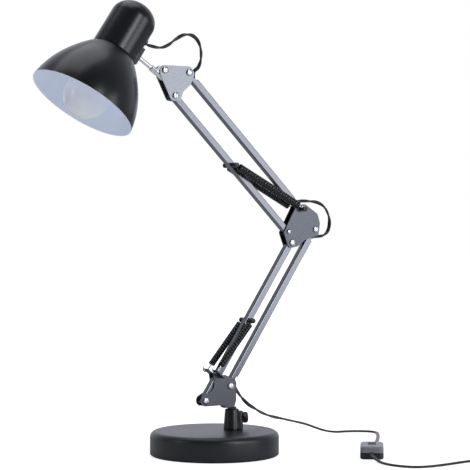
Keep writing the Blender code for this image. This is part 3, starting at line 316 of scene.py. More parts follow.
def socket_of(group, name, direction, kind, default=None):
    """Adds a named socket to a node group."""
    socket = group.interface.new_socket(name=name, in_out=direction, socket_type=kind)
    if default is not None:
        socket.default_value = default
    return socket


def link(tree, output, target):
    tree.links.new(output, target)


def made_node(tree, kind, **values):
    """A node with its properties, or its inputs by name, set."""
    node = tree.nodes.new(kind)
    for key, value in values.items():
        if hasattr(node, key):
            setattr(node, key, value)
        else:
            node.inputs[key.replace("_", " ")].default_value = value
    return node


# Every finish shares this: slow drifts of tone, a fine grain, and a little relief.
grain = bpy.data.node_groups.new("grain", "ShaderNodeTree")
socket_of(grain, "Colour", "INPUT", "NodeSocketColor", (0.5, 0.5, 0.5, 1.0))
socket_of(grain, "Drift", "INPUT", "NodeSocketFloat", 0.1)
socket_of(grain, "Drift Scale", "INPUT", "NodeSocketFloat", 30.0)
socket_of(grain, "Roughness", "INPUT", "NodeSocketFloat", 0.3)
socket_of(grain, "Spread", "INPUT", "NodeSocketFloat", 0.05)
socket_of(grain, "Grain Scale", "INPUT", "NodeSocketFloat", 900.0)
socket_of(grain, "Relief", "INPUT", "NodeSocketFloat", 0.02)
socket_of(grain, "Colour", "OUTPUT", "NodeSocketColor")
socket_of(grain, "Roughness", "OUTPUT", "NodeSocketFloat")
socket_of(grain, "Normal", "OUTPUT", "NodeSocketVector")
enters = grain.nodes.new("NodeGroupInput")
exits = grain.nodes.new("NodeGroupOutput")
where = grain.nodes.new("ShaderNodeTexCoord")
slow = made_node(grain, "ShaderNodeTexNoise", Detail=3.0, Roughness=0.6)
fine = made_node(grain, "ShaderNodeTexNoise", Detail=2.0, Roughness=0.55)
for texture, scale in ((slow, "Drift Scale"), (fine, "Grain Scale")):
    link(grain, where.outputs["Object"], texture.inputs["Vector"])
    link(grain, enters.outputs[scale], texture.inputs["Scale"])
centred = made_node(grain, "ShaderNodeMath", operation="SUBTRACT")
centred.inputs[1].default_value = 0.5
link(grain, slow.outputs["Fac"], centred.inputs[0])
drifted = made_node(grain, "ShaderNodeMath", operation="MULTIPLY_ADD")
link(grain, centred.outputs[0], drifted.inputs[0])
link(grain, enters.outputs["Drift"], drifted.inputs[1])
drifted.inputs[2].default_value = 1.0
tone = made_node(grain, "ShaderNodeVectorMath", operation="SCALE")
link(grain, enters.outputs["Colour"], tone.inputs[0])
link(grain, drifted.outputs[0], tone.inputs["Scale"])
link(grain, tone.outputs[0], exits.inputs["Colour"])
rough = made_node(grain, "ShaderNodeMath", operation="MULTIPLY_ADD", use_clamp=True)
link(grain, centred.outputs[0], rough.inputs[0])
link(grain, enters.outputs["Spread"], rough.inputs[1])
link(grain, enters.outputs["Roughness"], rough.inputs[2])
link(grain, rough.outputs[0], exits.inputs["Roughness"])
relief = made_node(grain, "ShaderNodeBump", Distance=0.0003)
link(grain, fine.outputs["Fac"], relief.inputs["Height"])
link(grain, enters.outputs["Relief"], relief.inputs["Strength"])
link(grain, relief.outputs["Normal"], exits.inputs["Normal"])


def finish(name, colour, roughness, metallic=0.0, drift=0.12, drift_scale=30.0, spread=0.08,
           grain_scale=900.0, relief=0.03, coat=0.0, coat_roughness=0.1, sheen=0.0, specular=0.5):
    """A surface of one colour with the shared grain at its own scale."""
    material = bpy.data.materials.new(name)
    material.use_nodes = True
    tree = material.node_tree
    shader = tree.nodes["Principled BSDF"]
    shader.inputs["Metallic"].default_value = metallic
    shader.inputs["Coat Weight"].default_value = coat
    shader.inputs["Coat Roughness"].default_value = coat_roughness
    shader.inputs["Sheen Weight"].default_value = sheen
    shader.inputs["Specular IOR Level"].default_value = specular
    texture = tree.nodes.new("ShaderNodeGroup")
    texture.node_tree = grain
    for key, value in (("Colour", (*colour, 1.0)), ("Drift", drift), ("Drift Scale", drift_scale),
                       ("Roughness", roughness), ("Spread", spread),
                       ("Grain Scale", grain_scale), ("Relief", relief)):
        texture.inputs[key].default_value = value
    link(tree, texture.outputs["Colour"], shader.inputs["Base Color"])
    link(tree, texture.outputs["Roughness"], shader.inputs["Roughness"])
    link(tree, texture.outputs["Normal"], shader.inputs["Normal"])
    return material


def dress(piece, *materials):
    """Gives a piece its materials in slot order."""
    piece.data.materials.clear()
    for material in materials:
        piece.data.materials.append(material)
    return piece


flex_sheath = finish("flex_sheath", (0.012, 0.012, 0.013), 0.34, drift=0.3, drift_scale=60,
                     grain_scale=1500, relief=0.05)
for piece in (lamp_flex, tail_flex):
    dress(piece, flex_sheath)
for name in ("cord_lower_run", "cord_upper_run"):
    dress(nodes[name], flex_sheath)

# the tie that holds the hank: a flat strap round the wound turns
tie_centre = coil_middle + Vector((0.0, -0.0275, 0.0))
tie_half = (0.0084, 0.0032)
tie_line = []
for k in range(33):
    a = 2 * math.pi * k / 32
    x = math.copysign(abs(math.cos(a)) ** 0.45, math.cos(a)) * tie_half[0]
    z = math.copysign(abs(math.sin(a)) ** 0.45, math.sin(a)) * tie_half[1]
    tie_line.append(tie_centre + Vector((0.0, x, 0.0034 + z)))
strap_section = [(-0.003, -0.0002), (0.003, -0.0002), (0.003, 0.0002), (-0.003, 0.0002)]
tie = swept("hank_tie", tie_line, strap_section, Vector((1.0, 0.0, 0.0)), closed=True)
dress(tie, finish("tie_strap", (0.02, 0.02, 0.02), 0.6, relief=0.1))
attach(tie, "base")
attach(tail_flex, "base")
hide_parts("cord_tail", "cord_coil")
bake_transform(lamp_flex)
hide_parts("cord_hang", "cord_floor")

# ------------------------------------------------------------------ base
# Spun steel cover over a cast iron weight, enamelled satin black, with a foam pad glued
# into its open underside.


def baked(piece, place=None):
    """The object's evaluated mesh as a bmesh, moved by place; the object is removed."""
    bpy.context.view_layer.update()
    evaluated = piece.evaluated_get(bpy.context.evaluated_depsgraph_get())
    mesh = bpy.data.meshes.new_from_object(evaluated)
    bm = bmesh.new()
    bm.from_mesh(mesh)
    bm.transform(place @ piece.matrix_world if place else piece.matrix_world)
    bpy.data.meshes.remove(mesh)
    bpy.data.objects.remove(piece, do_unlink=True)
    return bm


def turned(name, profile, segments, place=None, sharp=35.0):
    """A turned shape about Z from (radius, height) points, then put in place."""
    bm = bmesh.new()
    closed = profile[0][0] > 0 and profile[-1][0] > 0
    rings = []
    for radius, height in profile:
        if radius <= 0:
            rings.append([bm.verts.new((0.0, 0.0, height))])
        else:
            rings.append([bm.verts.new((radius * math.cos(2 * math.pi * k / segments),
                                        radius * math.sin(2 * math.pi * k / segments), height))
                          for k in range(segments)])
    pairs = list(zip(rings, rings[1:])) + ([(rings[-1], rings[0])] if closed else [])
    for first, second in pairs:
        for k in range(segments):
            corners = [first[k % len(first)], first[(k + 1) % len(first)],
                       second[(k + 1) % len(second)], second[k % len(second)]]
            corners = list(dict.fromkeys(corners))
            if len(corners) > 2:
                bm.faces.new(corners)
    if place is not None:
        bm.transform(place)
    return finished(name, bm, sharp)


def arc(centre, radius, start, end, steps):
    """Points round an arc in a profile, angles in degrees."""
    angles = [math.radians(start + (end - start) * i / steps) for i in range(steps + 1)]
    return [(centre[0] + radius * math.cos(a), centre[1] + radius * math.sin(a)) for a in angles]


cover_low, cover_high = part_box("base_cover")
base_radius, base_high, base_foot = cover_high.x, cover_high.z, cover_low.z
EDGE, SKIN = 0.0080, 0.0015
cover = turned(
    "base_shell",
    [(0.0, base_high), (base_radius * 0.5, base_high)]
    + arc((base_radius - EDGE, base_high - EDGE), EDGE, 90, 2, 14)
    + [(base_radius, base_foot + 0.0008)]
    + arc((base_radius - 0.0008, base_foot + 0.0008), 0.0008, 0, -90, 4)
    + [(base_radius - SKIN, base_foot + 0.0003)]
    + arc((base_radius - EDGE, base_high - EDGE), EDGE - SKIN, 2, 90, 10)
    + [(0.0, base_high - SKIN)],
    160,
)
base_enamel = finish("base_enamel", (0.012, 0.0125, 0.015), 0.36, drift=0.15, drift_scale=14,
                     spread=0.06, grain_scale=700, relief=0.010)
dress(cover, base_enamel)
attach(cover, "base")
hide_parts("base_cover")
dress(nodes["base_weight"],
      finish("cast_iron", (0.10, 0.10, 0.10), 0.75, 0.4, relief=0.4, grain_scale=350))
dress(nodes["base_pad"],
      finish("pad_foam", (0.02, 0.02, 0.02), 0.95, drift=0.4, relief=0.6, grain_scale=1200))
dress(nodes["post_nut"], finish("nut_zinc", (0.62, 0.62, 0.64), 0.35, 1.0))

# ------------------------------------------------------------------ post and knob
# A turned post screwed down through the base, painted satin black, with a rib up one side.
# The fluted knob on the rib clamps the spindle of the arm.

post_axis = pivot["arm_swivel"]
POST_FOOT_RADIUS, POST_TOP_RADIUS, CHAMFER, BORE = 0.0112, 0.0094, 0.0018, 0.0063
post_foot, post_top = base_high + 0.0003, post_axis.z
post = turned(
    "post",
    [(BORE, post_top - 0.0225), (BORE, post_top - 0.0004), (BORE + 0.0004, post_top)]
    + arc((POST_TOP_RADIUS - CHAMFER, post_top - CHAMFER), CHAMFER, 90, 4, 6)
    + [(POST_FOOT_RADIUS, post_foot + 0.0005), (POST_FOOT_RADIUS - 0.0004, post_foot),
       (0.0050, post_foot), (0.0050, 0.0032), (0.0, 0.0032), (0.0, post_top - 0.0225)],
    72,
    Matrix.Translation((post_axis.x, 0.0, 0.0)),
)
knob_angle = math.radians(-22)
knob_way = Vector((math.cos(knob_angle), math.sin(knob_angle), 0.0))
knob_pin = pivot["knob_turn"]


def facing(place, z_axis, x_axis):
    """A placement whose Z and X point along the given directions."""
    z_axis = Vector(z_axis).normalized()
    x_axis = Vector(x_axis)
    x_axis = (x_axis - z_axis * x_axis.dot(z_axis)).normalized()
    turned_to = Matrix((x_axis, z_axis.cross(x_axis), z_axis)).transposed().to_4x4()
    return Matrix.Translation(place) @ turned_to


def joined(piece, other, operation="UNION"):
    """Joins or cuts piece with other, which is used up."""
    modifier = piece.modifiers.new("join", "BOOLEAN")
    modifier.operation, modifier.solver, modifier.object = operation, "EXACT", other
    name, materials = piece.name, list(piece.data.materials)
    bm = baked(piece)
    bpy.data.objects.remove(other, do_unlink=True)
    return dress(finished(name, bm), *materials)


def round_section(radius, sides=10):
    """A circle of points about the origin."""
    angles = [2 * math.pi * k / sides for k in range(sides)]
    return [(radius * math.cos(a), radius * math.sin(a)) for a in angles]


RIB_HALF, RIB_REACH, RIB_DROP, RIB_CORNER, RIB_CROWN = 0.0053, 0.0148, 0.0030, 0.0040, 0.0014
rib_shoulder = post_top - post_foot - RIB_DROP - RIB_CROWN
rib_bm = bmesh.new()
outline = [(BORE + 0.0010, -RIB_HALF)]
outline += arc((RIB_REACH - RIB_CORNER, -RIB_HALF + RIB_CORNER), RIB_CORNER, -90, 0, 8)
outline += [(x, -y) for x, y in reversed(outline)]
levels = [(0.0, 0.0004), (0.0004, 0.0), (rib_shoulder, 0.0)]
levels += [(rib_shoulder + RIB_CROWN * math.sin(a), RIB_CROWN * (1 - math.cos(a)))
           for a in (math.radians(18 * k) for k in range(1, 6))]
rings = [[rib_bm.verts.new((x * (1 - inset / RIB_REACH), y * (1 - inset / RIB_HALF), z))
          for x, y in outline] for z, inset in levels]
skin(rib_bm, rings)
rib_bm.faces.new(reversed(rings[0]))
rib_bm.faces.new(rings[-1])
rib_bm.transform(Matrix.Translation((post_axis.x, 0.0, post_foot))
                 @ Matrix.Rotation(knob_angle, 4, "Z"))
post = joined(post, finished("rib", rib_bm))
post_paint = finish("post_paint", (0.012, 0.012, 0.014), 0.28, drift=0.2, relief=0.01)
dress(post, post_paint)
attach(post, "base")
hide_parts("base_post")
dress(nodes["spindle"], post_paint)

KNOB_THICK, KNOB_RADIUS, KNOB_FLUTES, KNOB_STEPS = 0.0062, 0.0074, 8, 96
STUD_RADIUS, STUD_END = 0.0024, -0.0088
knob_place = facing(knob_pin + knob_way * (RIB_REACH + 0.0006), knob_way, (0.0, 0.0, 1.0))
knob_bm = bmesh.new()
profile = [(0.86, 0.0, 0.0), (0.97, 0.0003, 0.3), (1.0, 0.0010, 1.0),
           (1.0, KNOB_THICK - 0.0022, 1.0)]
profile += [(0.80 + 0.20 * math.cos(a), KNOB_THICK - 0.0022 + 0.0018 * math.sin(a), math.cos(a))
            for a in (math.radians(15 * k) for k in range(1, 7))]
profile += [(0.45, KNOB_THICK - 0.0001, 0.0), (0.40, KNOB_THICK - 0.0005, 0.0),
            (0.20, KNOB_THICK - 0.0006, 0.0)]
rings = []
for share, z, fluted in profile:
    ring = []
    for k in range(KNOB_STEPS):
        a = 2 * math.pi * k / KNOB_STEPS
        reach = KNOB_RADIUS * share - 0.0004 * fluted * (1 - math.cos(KNOB_FLUTES * a))
        ring.append(knob_bm.verts.new((reach * math.cos(a), reach * math.sin(a), z)))
    rings.append(ring)
skin(knob_bm, rings)
knob_bm.faces.new(rings[-1])
stud = [[knob_bm.verts.new((x, y, z)) for x, y in round_section(STUD_RADIUS, KNOB_STEPS)]
        for z in (0.0, STUD_END)]
skin(knob_bm, [rings[0], *stud])
knob_bm.faces.new(stud[1])
knob_bm.transform(knob_place)
knob = finished("lock_wing", knob_bm)
black_moulding = finish("black_moulding", (0.014, 0.014, 0.015), 0.38, drift=0.15,
                        grain_scale=1400, relief=0.06)
dress(knob, black_moulding)
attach(knob, "knob")
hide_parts("lock_knob")

# ------------------------------------------------------------------ bracket plates
# Pairs of 1.5 mm pressed steel plates hold the bars between them.  They are painted a
# metallic grey; the lower pair has ears folded outwards for the springs.


def grey_plate(name, colour, roughness=0.33):
    """Metallic grey paint."""
    return finish(name, colour, roughness, 0.9, drift=0.14, drift_scale=22, spread=0.08,
                  grain_scale=600, relief=0.003)


plate_grey = grey_plate("bracket_grey", (0.105, 0.110, 0.126))
# The head pair has the same paint as the other plates; its lighter grey is a painted highlight, for the
# light that falls brighter on it.
head_plate_highlight_grey = grey_plate("head_bracket_grey", (0.24, 0.25, 0.275))
for name in ("lower_plate_near", "lower_plate_far", "elbow_plate_near", "elbow_plate_far"):
    dress(nodes[name], plate_grey)
for name in ("head_plate_near", "head_plate_far"):
    dress(nodes[name], head_plate_highlight_grey)

# ------------------------------------------------------------------ arm bars
# Four lengths of 9 mm square steel tube, painted metallic grey.

bar_grey = grey_plate("bar_grey", (0.165, 0.171, 0.190), 0.20)
for name in ("lower_front_bar", "lower_rear_bar", "upper_front_bar", "upper_rear_bar"):
    dress(nodes[name], bar_grey)

# ------------------------------------------------------------------ screws
# Pan head screws with cross recesses hold the brackets, each with a plain nut behind.

PLATE_FACE = 0.0067          # from the lamp's middle to the plates' outer faces
SHANK, LARGE_HEAD, SMALL_HEAD = 0.00195, 0.0046, 0.0034
NUT_RADIUS, NUT_THICK, NUT_EDGE = 0.0036, 0.0026, 0.0004


def block(name, size, place):
    """A square-edged block, centred on its place."""
    bm = bmesh.new()
    bmesh.ops.create_cube(bm, size=1.0, matrix=place @ Matrix.Diagonal((*size, 1.0)))
    return finished(name, bm)


def screw_shape(name, head):
    """A pan head screw along +Z, its seat one plate face from the middle."""
    profile = [(0.0, PLATE_FACE + 0.0024)]
    profile += [(head * math.sin(math.radians(a)),
                 PLATE_FACE + 0.0010 + 0.0014 * math.cos(math.radians(a)))
                for a in (20, 35, 50, 65, 80, 90)]
    profile += [(head, PLATE_FACE + 0.0002), (head - 0.0002, PLATE_FACE), (SHANK, PLATE_FACE),
                (SHANK, -PLATE_FACE), (NUT_RADIUS, -PLATE_FACE),
                (NUT_RADIUS, -PLATE_FACE - NUT_THICK + NUT_EDGE),
                (NUT_RADIUS - NUT_EDGE, -PLATE_FACE - NUT_THICK), (0.0, -PLATE_FACE - NUT_THICK)]
    screw = turned(name, profile, 32)
    scale = head / LARGE_HEAD
    for long, wide in ((0.0052, 0.0011), (0.0011, 0.0052)):
        slot = block("slot", (long * scale, wide * scale, 0.0034),
                     Matrix.Translation((0, 0, PLATE_FACE + 0.0030)))
        screw = joined(screw, slot, "DIFFERENCE")
    return screw


screw_zinc = finish("screw_zinc", (0.72, 0.72, 0.73), 0.24, 1.0, drift=0.2, relief=0.02)


def screw_row(piece_name, shape, places, material):
    """Geometry Nodes: the same screw set at each place and made one mesh."""
    tree = bpy.data.node_groups.new(piece_name, "GeometryNodeTree")
    tree.interface.new_socket(name="Places", in_out="INPUT", socket_type="NodeSocketGeometry")
    screw_input = tree.interface.new_socket(name="Screw", in_out="INPUT",
                                            socket_type="NodeSocketObject")
    tree.interface.new_socket(name="Screws", in_out="OUTPUT", socket_type="NodeSocketGeometry")
    source, result = tree.nodes.new("NodeGroupInput"), tree.nodes.new("NodeGroupOutput")
    info = tree.nodes.new("GeometryNodeObjectInfo")
    spin = tree.nodes.new("FunctionNodeRandomValue")
    spin.data_type = "FLOAT_VECTOR"
    spin.inputs["Min"].default_value = (math.pi / 2, 0.0, 0.0)
    spin.inputs["Max"].default_value = (math.pi / 2, 1.5, 0.0)
    spin.inputs["Seed"].default_value = 7
    put = tree.nodes.new("GeometryNodeInstanceOnPoints")
    realize = tree.nodes.new("GeometryNodeRealizeInstances")
    paint = tree.nodes.new("GeometryNodeSetMaterial")
    paint.inputs["Material"].default_value = material
    link(tree, source.outputs["Places"], put.inputs["Points"])
    link(tree, source.outputs["Screw"], info.inputs["Object"])
    link(tree, info.outputs["Geometry"], put.inputs["Instance"])
    link(tree, spin.outputs["Value"], put.inputs["Rotation"])
    link(tree, put.outputs["Instances"], realize.inputs["Geometry"])
    link(tree, realize.outputs["Geometry"], paint.inputs["Geometry"])
    link(tree, paint.outputs["Geometry"], result.inputs["Screws"])
    mesh = bpy.data.meshes.new(piece_name)
    mesh.from_pydata([tuple(place) for place in places], [], [])
    holder = placed(piece_name, mesh)
    modifier = holder.modifiers.new("screws", "NODES")
    modifier.node_group = tree
    modifier[screw_input.identifier] = shape
    bm = baked(holder)
    return dress(finished(piece_name, bm), material)


large_screw = screw_shape("large_screw", LARGE_HEAD)
small_screw = screw_shape("small_screw", SMALL_HEAD)
upper_front_end, tilt_pin = pivot["head_bracket_turn"], pivot["head_tilt"]
upper_rear_end = pivot["upper_rear_bar_turn"]
for name, shape, places, body, replaced in (
    ("lower_screws", large_screw, (pivot["lower_arm"], lower_foot), "lower_bracket",
     ("bolt_lower_front", "bolt_lower_rear")),
    ("elbow_screws", large_screw, (pivot["elbow_turn"], pivot["lower_rear_bar_turn"]), "elbow",
     ("bolt_elbow_front", "bolt_elbow_rear")),
    ("elbow_small_screw", small_screw, (pivot["upper_arm"],), "elbow", ("bolt_elbow_upper",)),
    ("head_screws", large_screw, (tilt_pin, upper_front_end, upper_rear_end), "head_bracket",
     ("bolt_head_tilt", "bolt_head_front", "bolt_head_rear")),
):
    row = screw_row(name, shape, places, screw_zinc)
    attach(row, body)
    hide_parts(*replaced)
for shape in (large_screw, small_screw):
    bpy.data.objects.remove(shape, do_unlink=True)

# ------------------------------------------------------------------ spring pins
# Black moulded cross pins, each end grooved to hold a spring's eye.

PIN_BOSS, PIN_GROOVE, PIN_REACH, SPRING_Y = 0.0034, 0.0023, 0.0160, 0.0118
UPRIGHT = Matrix.Rotation(math.radians(90), 4, "X")
for name, centre, inner, body in (
    ("lower_spring_pin", pivot["lower_spring_turn"], 0.0048, "lower_front"),
    ("elbow_spring_pin", upper_foot, PLATE_FACE, "elbow"),
    ("upper_spring_pin", pivot["upper_spring_turn"], 0.0048, "upper_front"),
):
    half = [(0.0, PIN_REACH), (PIN_BOSS - 0.0008, PIN_REACH),
            (PIN_BOSS - 0.0003, PIN_REACH - 0.0002),
            (PIN_BOSS, PIN_REACH - 0.0008), (PIN_BOSS, SPRING_Y + 0.0017),
            (PIN_GROOVE, SPRING_Y + 0.0009), (PIN_GROOVE, SPRING_Y - 0.0009),
            (PIN_BOSS, SPRING_Y - 0.0017), (PIN_BOSS, inner), (SHANK, inner)]
    pin = turned(name + "_moulding", half + [(r, -h) for r, h in reversed(half)], 40,
                 Matrix.Translation(centre) @ UPRIGHT)
    dress(pin, black_moulding)
    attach(pin, body)
    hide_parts(name)

# ------------------------------------------------------------------ balance springs
# Close-wound springs of black enamelled wire, one on each side of the arm, with a bright
# end hook.  The eye at the foot goes round the bar's pin.

SPRING_WIRE = 0.00050
HOOK_WIRE = 0.00078
spring_black = finish("spring_black", (0.008, 0.008, 0.009), 0.16, drift=0.1, relief=0.0,
                      specular=0.8)
hook_steel = finish("hook_steel", (0.55, 0.55, 0.57), 0.22, 1.0, drift=0.1, relief=0.0)


def wound_coil(name, radius, wire, length, place, material):
    """Geometry Nodes: wire wound close round a core, from 0 to length along Z."""
    tree = bpy.data.node_groups.new(name, "GeometryNodeTree")
    sizes = {}
    for label, value in (("Radius", radius), ("Wire", wire), ("Length", length)):
        sizes[label] = tree.interface.new_socket(name=label, in_out="INPUT",
                                                 socket_type="NodeSocketFloat")
        sizes[label].default_value = value
    tree.interface.new_socket(name="Coil", in_out="OUTPUT", socket_type="NodeSocketGeometry")
    source, result = tree.nodes.new("NodeGroupInput"), tree.nodes.new("NodeGroupOutput")
    spiral = tree.nodes.new("GeometryNodeCurveSpiral")
    spiral.inputs["Resolution"].default_value = 18
    turns = made_node(tree, "ShaderNodeMath", operation="DIVIDE")
    pitch = made_node(tree, "ShaderNodeMath", operation="MULTIPLY")
    pitch.inputs[1].default_value = 2.04      # a little over two wire radii, so turns don't fuse
    ring = tree.nodes.new("GeometryNodeCurvePrimitiveCircle")
    ring.inputs["Resolution"].default_value = 6
    body = tree.nodes.new("GeometryNodeCurveToMesh")
    body.inputs["Fill Caps"].default_value = True
    paint = tree.nodes.new("GeometryNodeSetMaterial")
    paint.inputs["Material"].default_value = material
    link(tree, source.outputs["Wire"], pitch.inputs[0])
    link(tree, source.outputs["Length"], turns.inputs[0])
    link(tree, pitch.outputs[0], turns.inputs[1])
    link(tree, turns.outputs[0], spiral.inputs["Rotations"])
    link(tree, source.outputs["Radius"], spiral.inputs["Start Radius"])
    link(tree, source.outputs["Radius"], spiral.inputs["End Radius"])
    link(tree, source.outputs["Length"], spiral.inputs["Height"])
    link(tree, source.outputs["Wire"], ring.inputs["Radius"])
    link(tree, spiral.outputs["Curve"], body.inputs["Curve"])
    link(tree, ring.outputs["Curve"], body.inputs["Profile Curve"])
    link(tree, body.outputs["Mesh"], paint.inputs["Geometry"])
    link(tree, paint.outputs["Geometry"], result.inputs["Coil"])
    holder = placed(name, bpy.data.meshes.new(name))
    modifier = holder.modifiers.new("coil", "NODES")
    modifier.node_group = tree
    for label, value in (("Radius", radius), ("Wire", wire), ("Length", length)):
        modifier[sizes[label].identifier] = value
    return baked(holder, place)


def merge(name, *parts):
    """One piece from several bmeshes or objects."""
    whole = bmesh.new()
    for part in parts:
        if isinstance(part, bpy.types.Object):
            mesh = part.data
            whole.from_mesh(mesh)
            bpy.data.objects.remove(part, do_unlink=True)
        else:
            mesh = bpy.data.meshes.new("part")
            part.to_mesh(mesh)
            part.free()
            whole.from_mesh(mesh)
            bpy.data.meshes.remove(mesh)
    return finished(name, whole)


Y_AXIS = Vector((0.0, 1.0, 0.0))
for stem, coil, through in (("lower", 0.0090, True), ("upper", 0.0104, False)):
    anchor, pin = pivot[f"{stem}_hook_turn"], pivot[f"{stem}_spring_turn"]
    hook_body, coil_body = f"{stem}_hooks", f"{stem}_springs"
    along = (anchor - pin).normalized()
    length = (anchor - pin).length
    sideways = Vector((along.z, 0.0, -along.x))
    coil_start, coil_end = PIN_BOSS + 0.0026, length - 0.0106
    for side, label in ((-1, "near"), (1, "far")):
        offset = Vector((0.0, side * SPRING_Y, 0.0))
        place = facing(pin + offset + along * coil_start, along, Y_AXIS)
        body_coil = wound_coil(f"{stem}_{label}_winding", coil / 2 - SPRING_WIRE, SPRING_WIRE,
                               coil_end - coil_start, place, spring_black)
        eye_radius = PIN_GROOVE + 0.0003 + SPRING_WIRE
        eye_line = [pin + offset + along * (eye_radius * math.cos(t))
                    + sideways * (eye_radius * math.sin(t))
                    for t in (math.radians(25 + 310 * k / 26) for k in range(27))]
        eye_line += [pin + offset + along * (coil_start - 0.0014) - sideways * 0.0006,
                     pin + offset + along * coil_start - sideways * (coil * 0.30),
                     pin + offset + along * (coil_start + 0.0012) - sideways * (coil / 2 - SPRING_WIRE)]
        eye = swept("eye", smooth_line(eye_line, 0.0007), round_section(SPRING_WIRE), Y_AXIS)
        spring = merge(f"{stem}_spring_{label}_coil", body_coil, eye)
        dress(spring, spring_black)
        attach(spring, coil_body)
        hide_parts(f"{stem}_spring_{label}")

        centre = anchor + offset
        if through:
            bend = centre + sideways * 0.0036
            ring = [bend - sideways * (0.0036 * math.cos(t)) + along * (0.0036 * math.sin(t))
                    for t in (math.radians(205 - 205 * k / 24) for k in range(25))]
            stem_line = [centre - along * 0.004, centre - along * 0.026]
        else:
            hook_radius = PIN_GROOVE + 0.0003 + HOOK_WIRE
            ring = [centre - along * (hook_radius * math.cos(t))
                    + sideways * (hook_radius * math.sin(t))
                    for t in (math.radians(-300 + 300 * k / 30) for k in range(31))]
            stem_line = [centre - along * 0.008, centre - along * 0.042]
        hook = swept(f"{stem}_hook_{label}_wire", smooth_line(ring + stem_line, 0.0007),
                     round_section(HOOK_WIRE), Y_AXIS)
        dress(hook, hook_steel)
        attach(hook, hook_body)
        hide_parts(f"{stem}_hook_{label}")

# ------------------------------------------------------------------ tilt link and rod
# A chromed link turns on the head bracket's tilt screw; its sleeve holds the rod that the
# head turns on.

chrome = finish("rod_chrome", (0.80, 0.80, 0.82), 0.08, 1.0, drift=0.05, relief=0.0)
dress(nodes["tilt_link"], chrome)
rod_way = Vector(next(j["axis"] for j in frame["joints"] if j["name"] == "head_turn")).normalized()
rod_start = pivot["head_turn"]
ROD_RADIUS = 0.0029
neck_way = Vector((-rod_way.z, 0.0, rod_way.x))      # down the shade's axis
if neck_way.z > 0:
    neck_way = -neck_way
neck_foot = pivot["head_tilt"] + Vector((-0.073353, 0.0, 0.019183))
neck_reach = (neck_foot - rod_start).dot(rod_way)
NECK_RADIUS = 0.0300
skin_at = neck_reach - NECK_RADIUS
rod = turned(
    "head_rod",
    [(0.0, skin_at + 0.0050), (ROD_RADIUS - 0.0004, skin_at + 0.0050),
     (ROD_RADIUS, skin_at + 0.0046), (ROD_RADIUS, 0.0047), (ROD_RADIUS - 0.0004, 0.0043),
     (0.0, 0.0043)],
    36,
    facing(rod_start, rod_way, Y_AXIS),
)
dress(rod, chrome)
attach(rod, "tilt_arm")
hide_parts("tilt_rod")

# ------------------------------------------------------------------ head
# Spun steel neck and bell shade, satin black outside and white inside, with a push-through
# holder and a frosted globe bulb.

neck_place = facing(neck_foot, -neck_way, rod_way)
NECK_LENGTH, DOME, SHEET, DEPTH = 0.0752, 0.0240, 0.0012, 0.0800
shade_black = finish("shade_black", (0.009, 0.0093, 0.011), 0.27, drift=0.12, drift_scale=12,
                     spread=0.05, grain_scale=1300, relief=0.010)


def painted_glow(material, colour, strength):
    """Gives a material a faint painted glow: light painted into a surface that is no lamp."""
    shader = material.node_tree.nodes["Principled BSDF"]
    shader.inputs["Emission Color"].default_value = (*colour, 1.0)
    shader.inputs["Emission Strength"].default_value = strength
    return material


# White paint inside the shade, with a faint painted glow that brightens it as light would.
shade_white = painted_glow(finish("shade_white", (0.80, 0.85, 0.95), 0.55, drift=0.05, relief=0.01),
                  (0.80, 0.87, 1.0), 0.12)
outside = [(NECK_RADIUS * math.sin(math.radians(a)),
            NECK_LENGTH - DOME + DOME * math.cos(math.radians(a))) for a in range(0, 91, 5)]
inside = [((NECK_RADIUS - SHEET) * math.sin(math.radians(a)),
           NECK_LENGTH - DOME + (DOME - SHEET) * math.cos(math.radians(a))) for a in range(90, -1, -6)]
neck = turned(
    "neck_shell",
    outside
    + [(NECK_RADIUS, 0.0009), (NECK_RADIUS - 0.0004, 0.0004), (NECK_RADIUS - SHEET, 0.0004)]
    + inside,
    96,
    neck_place,
)
dress(neck, shade_black)
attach(neck, "head")
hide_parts("neck_cap")

SHADE_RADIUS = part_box("shade")[1].y


def bell(offset, steps=30):
    """The shade's wall from under its collar to its rim."""
    points = []
    for i in range(1, steps + 1):
        t = i / steps
        rise = 1.0 - (1.0 - t) ** 2.1
        radius = NECK_RADIUS + (SHADE_RADIUS - NECK_RADIUS) * (0.25 * t + 0.75 * rise)
        points.append((radius + offset, -DEPTH * t))
    return points


collar_radius = NECK_RADIUS - SHEET - 0.0003
outer_wall = [(collar_radius, 0.0060), (collar_radius, -0.0003), (NECK_RADIUS, -0.0003), *bell(0.0)]
inner_wall = [*reversed(bell(-SHEET)),
              (collar_radius - SHEET, -0.0030), (collar_radius - SHEET, 0.0060)]
shade = turned("shade_bell", outer_wall + inner_wall, 144, neck_place)
dress(shade, shade_black, shade_white)
axis_place = neck_place.inverted()
for face in shade.data.polygons:
    centre = axis_place @ face.center
    outward = (neck_place.to_3x3() @ Vector((centre.x, centre.y, 0.0))).normalized()
    face.material_index = 1 if face.normal.dot(outward) < 0.05 and centre.z < -0.0005 else 0
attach(shade, "head")
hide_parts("shade")

for name in ("rod_saddle", "cord_grommet", "saddle_screw_lower", "saddle_screw_upper"):
    dress(nodes[name], black_moulding)
dress(nodes["lamp_holder"], finish("holder_white", (0.75, 0.75, 0.73), 0.45))
dress(nodes["bulb_cap"], finish("cap_metal", (0.75, 0.75, 0.75), 0.3, 1.0))

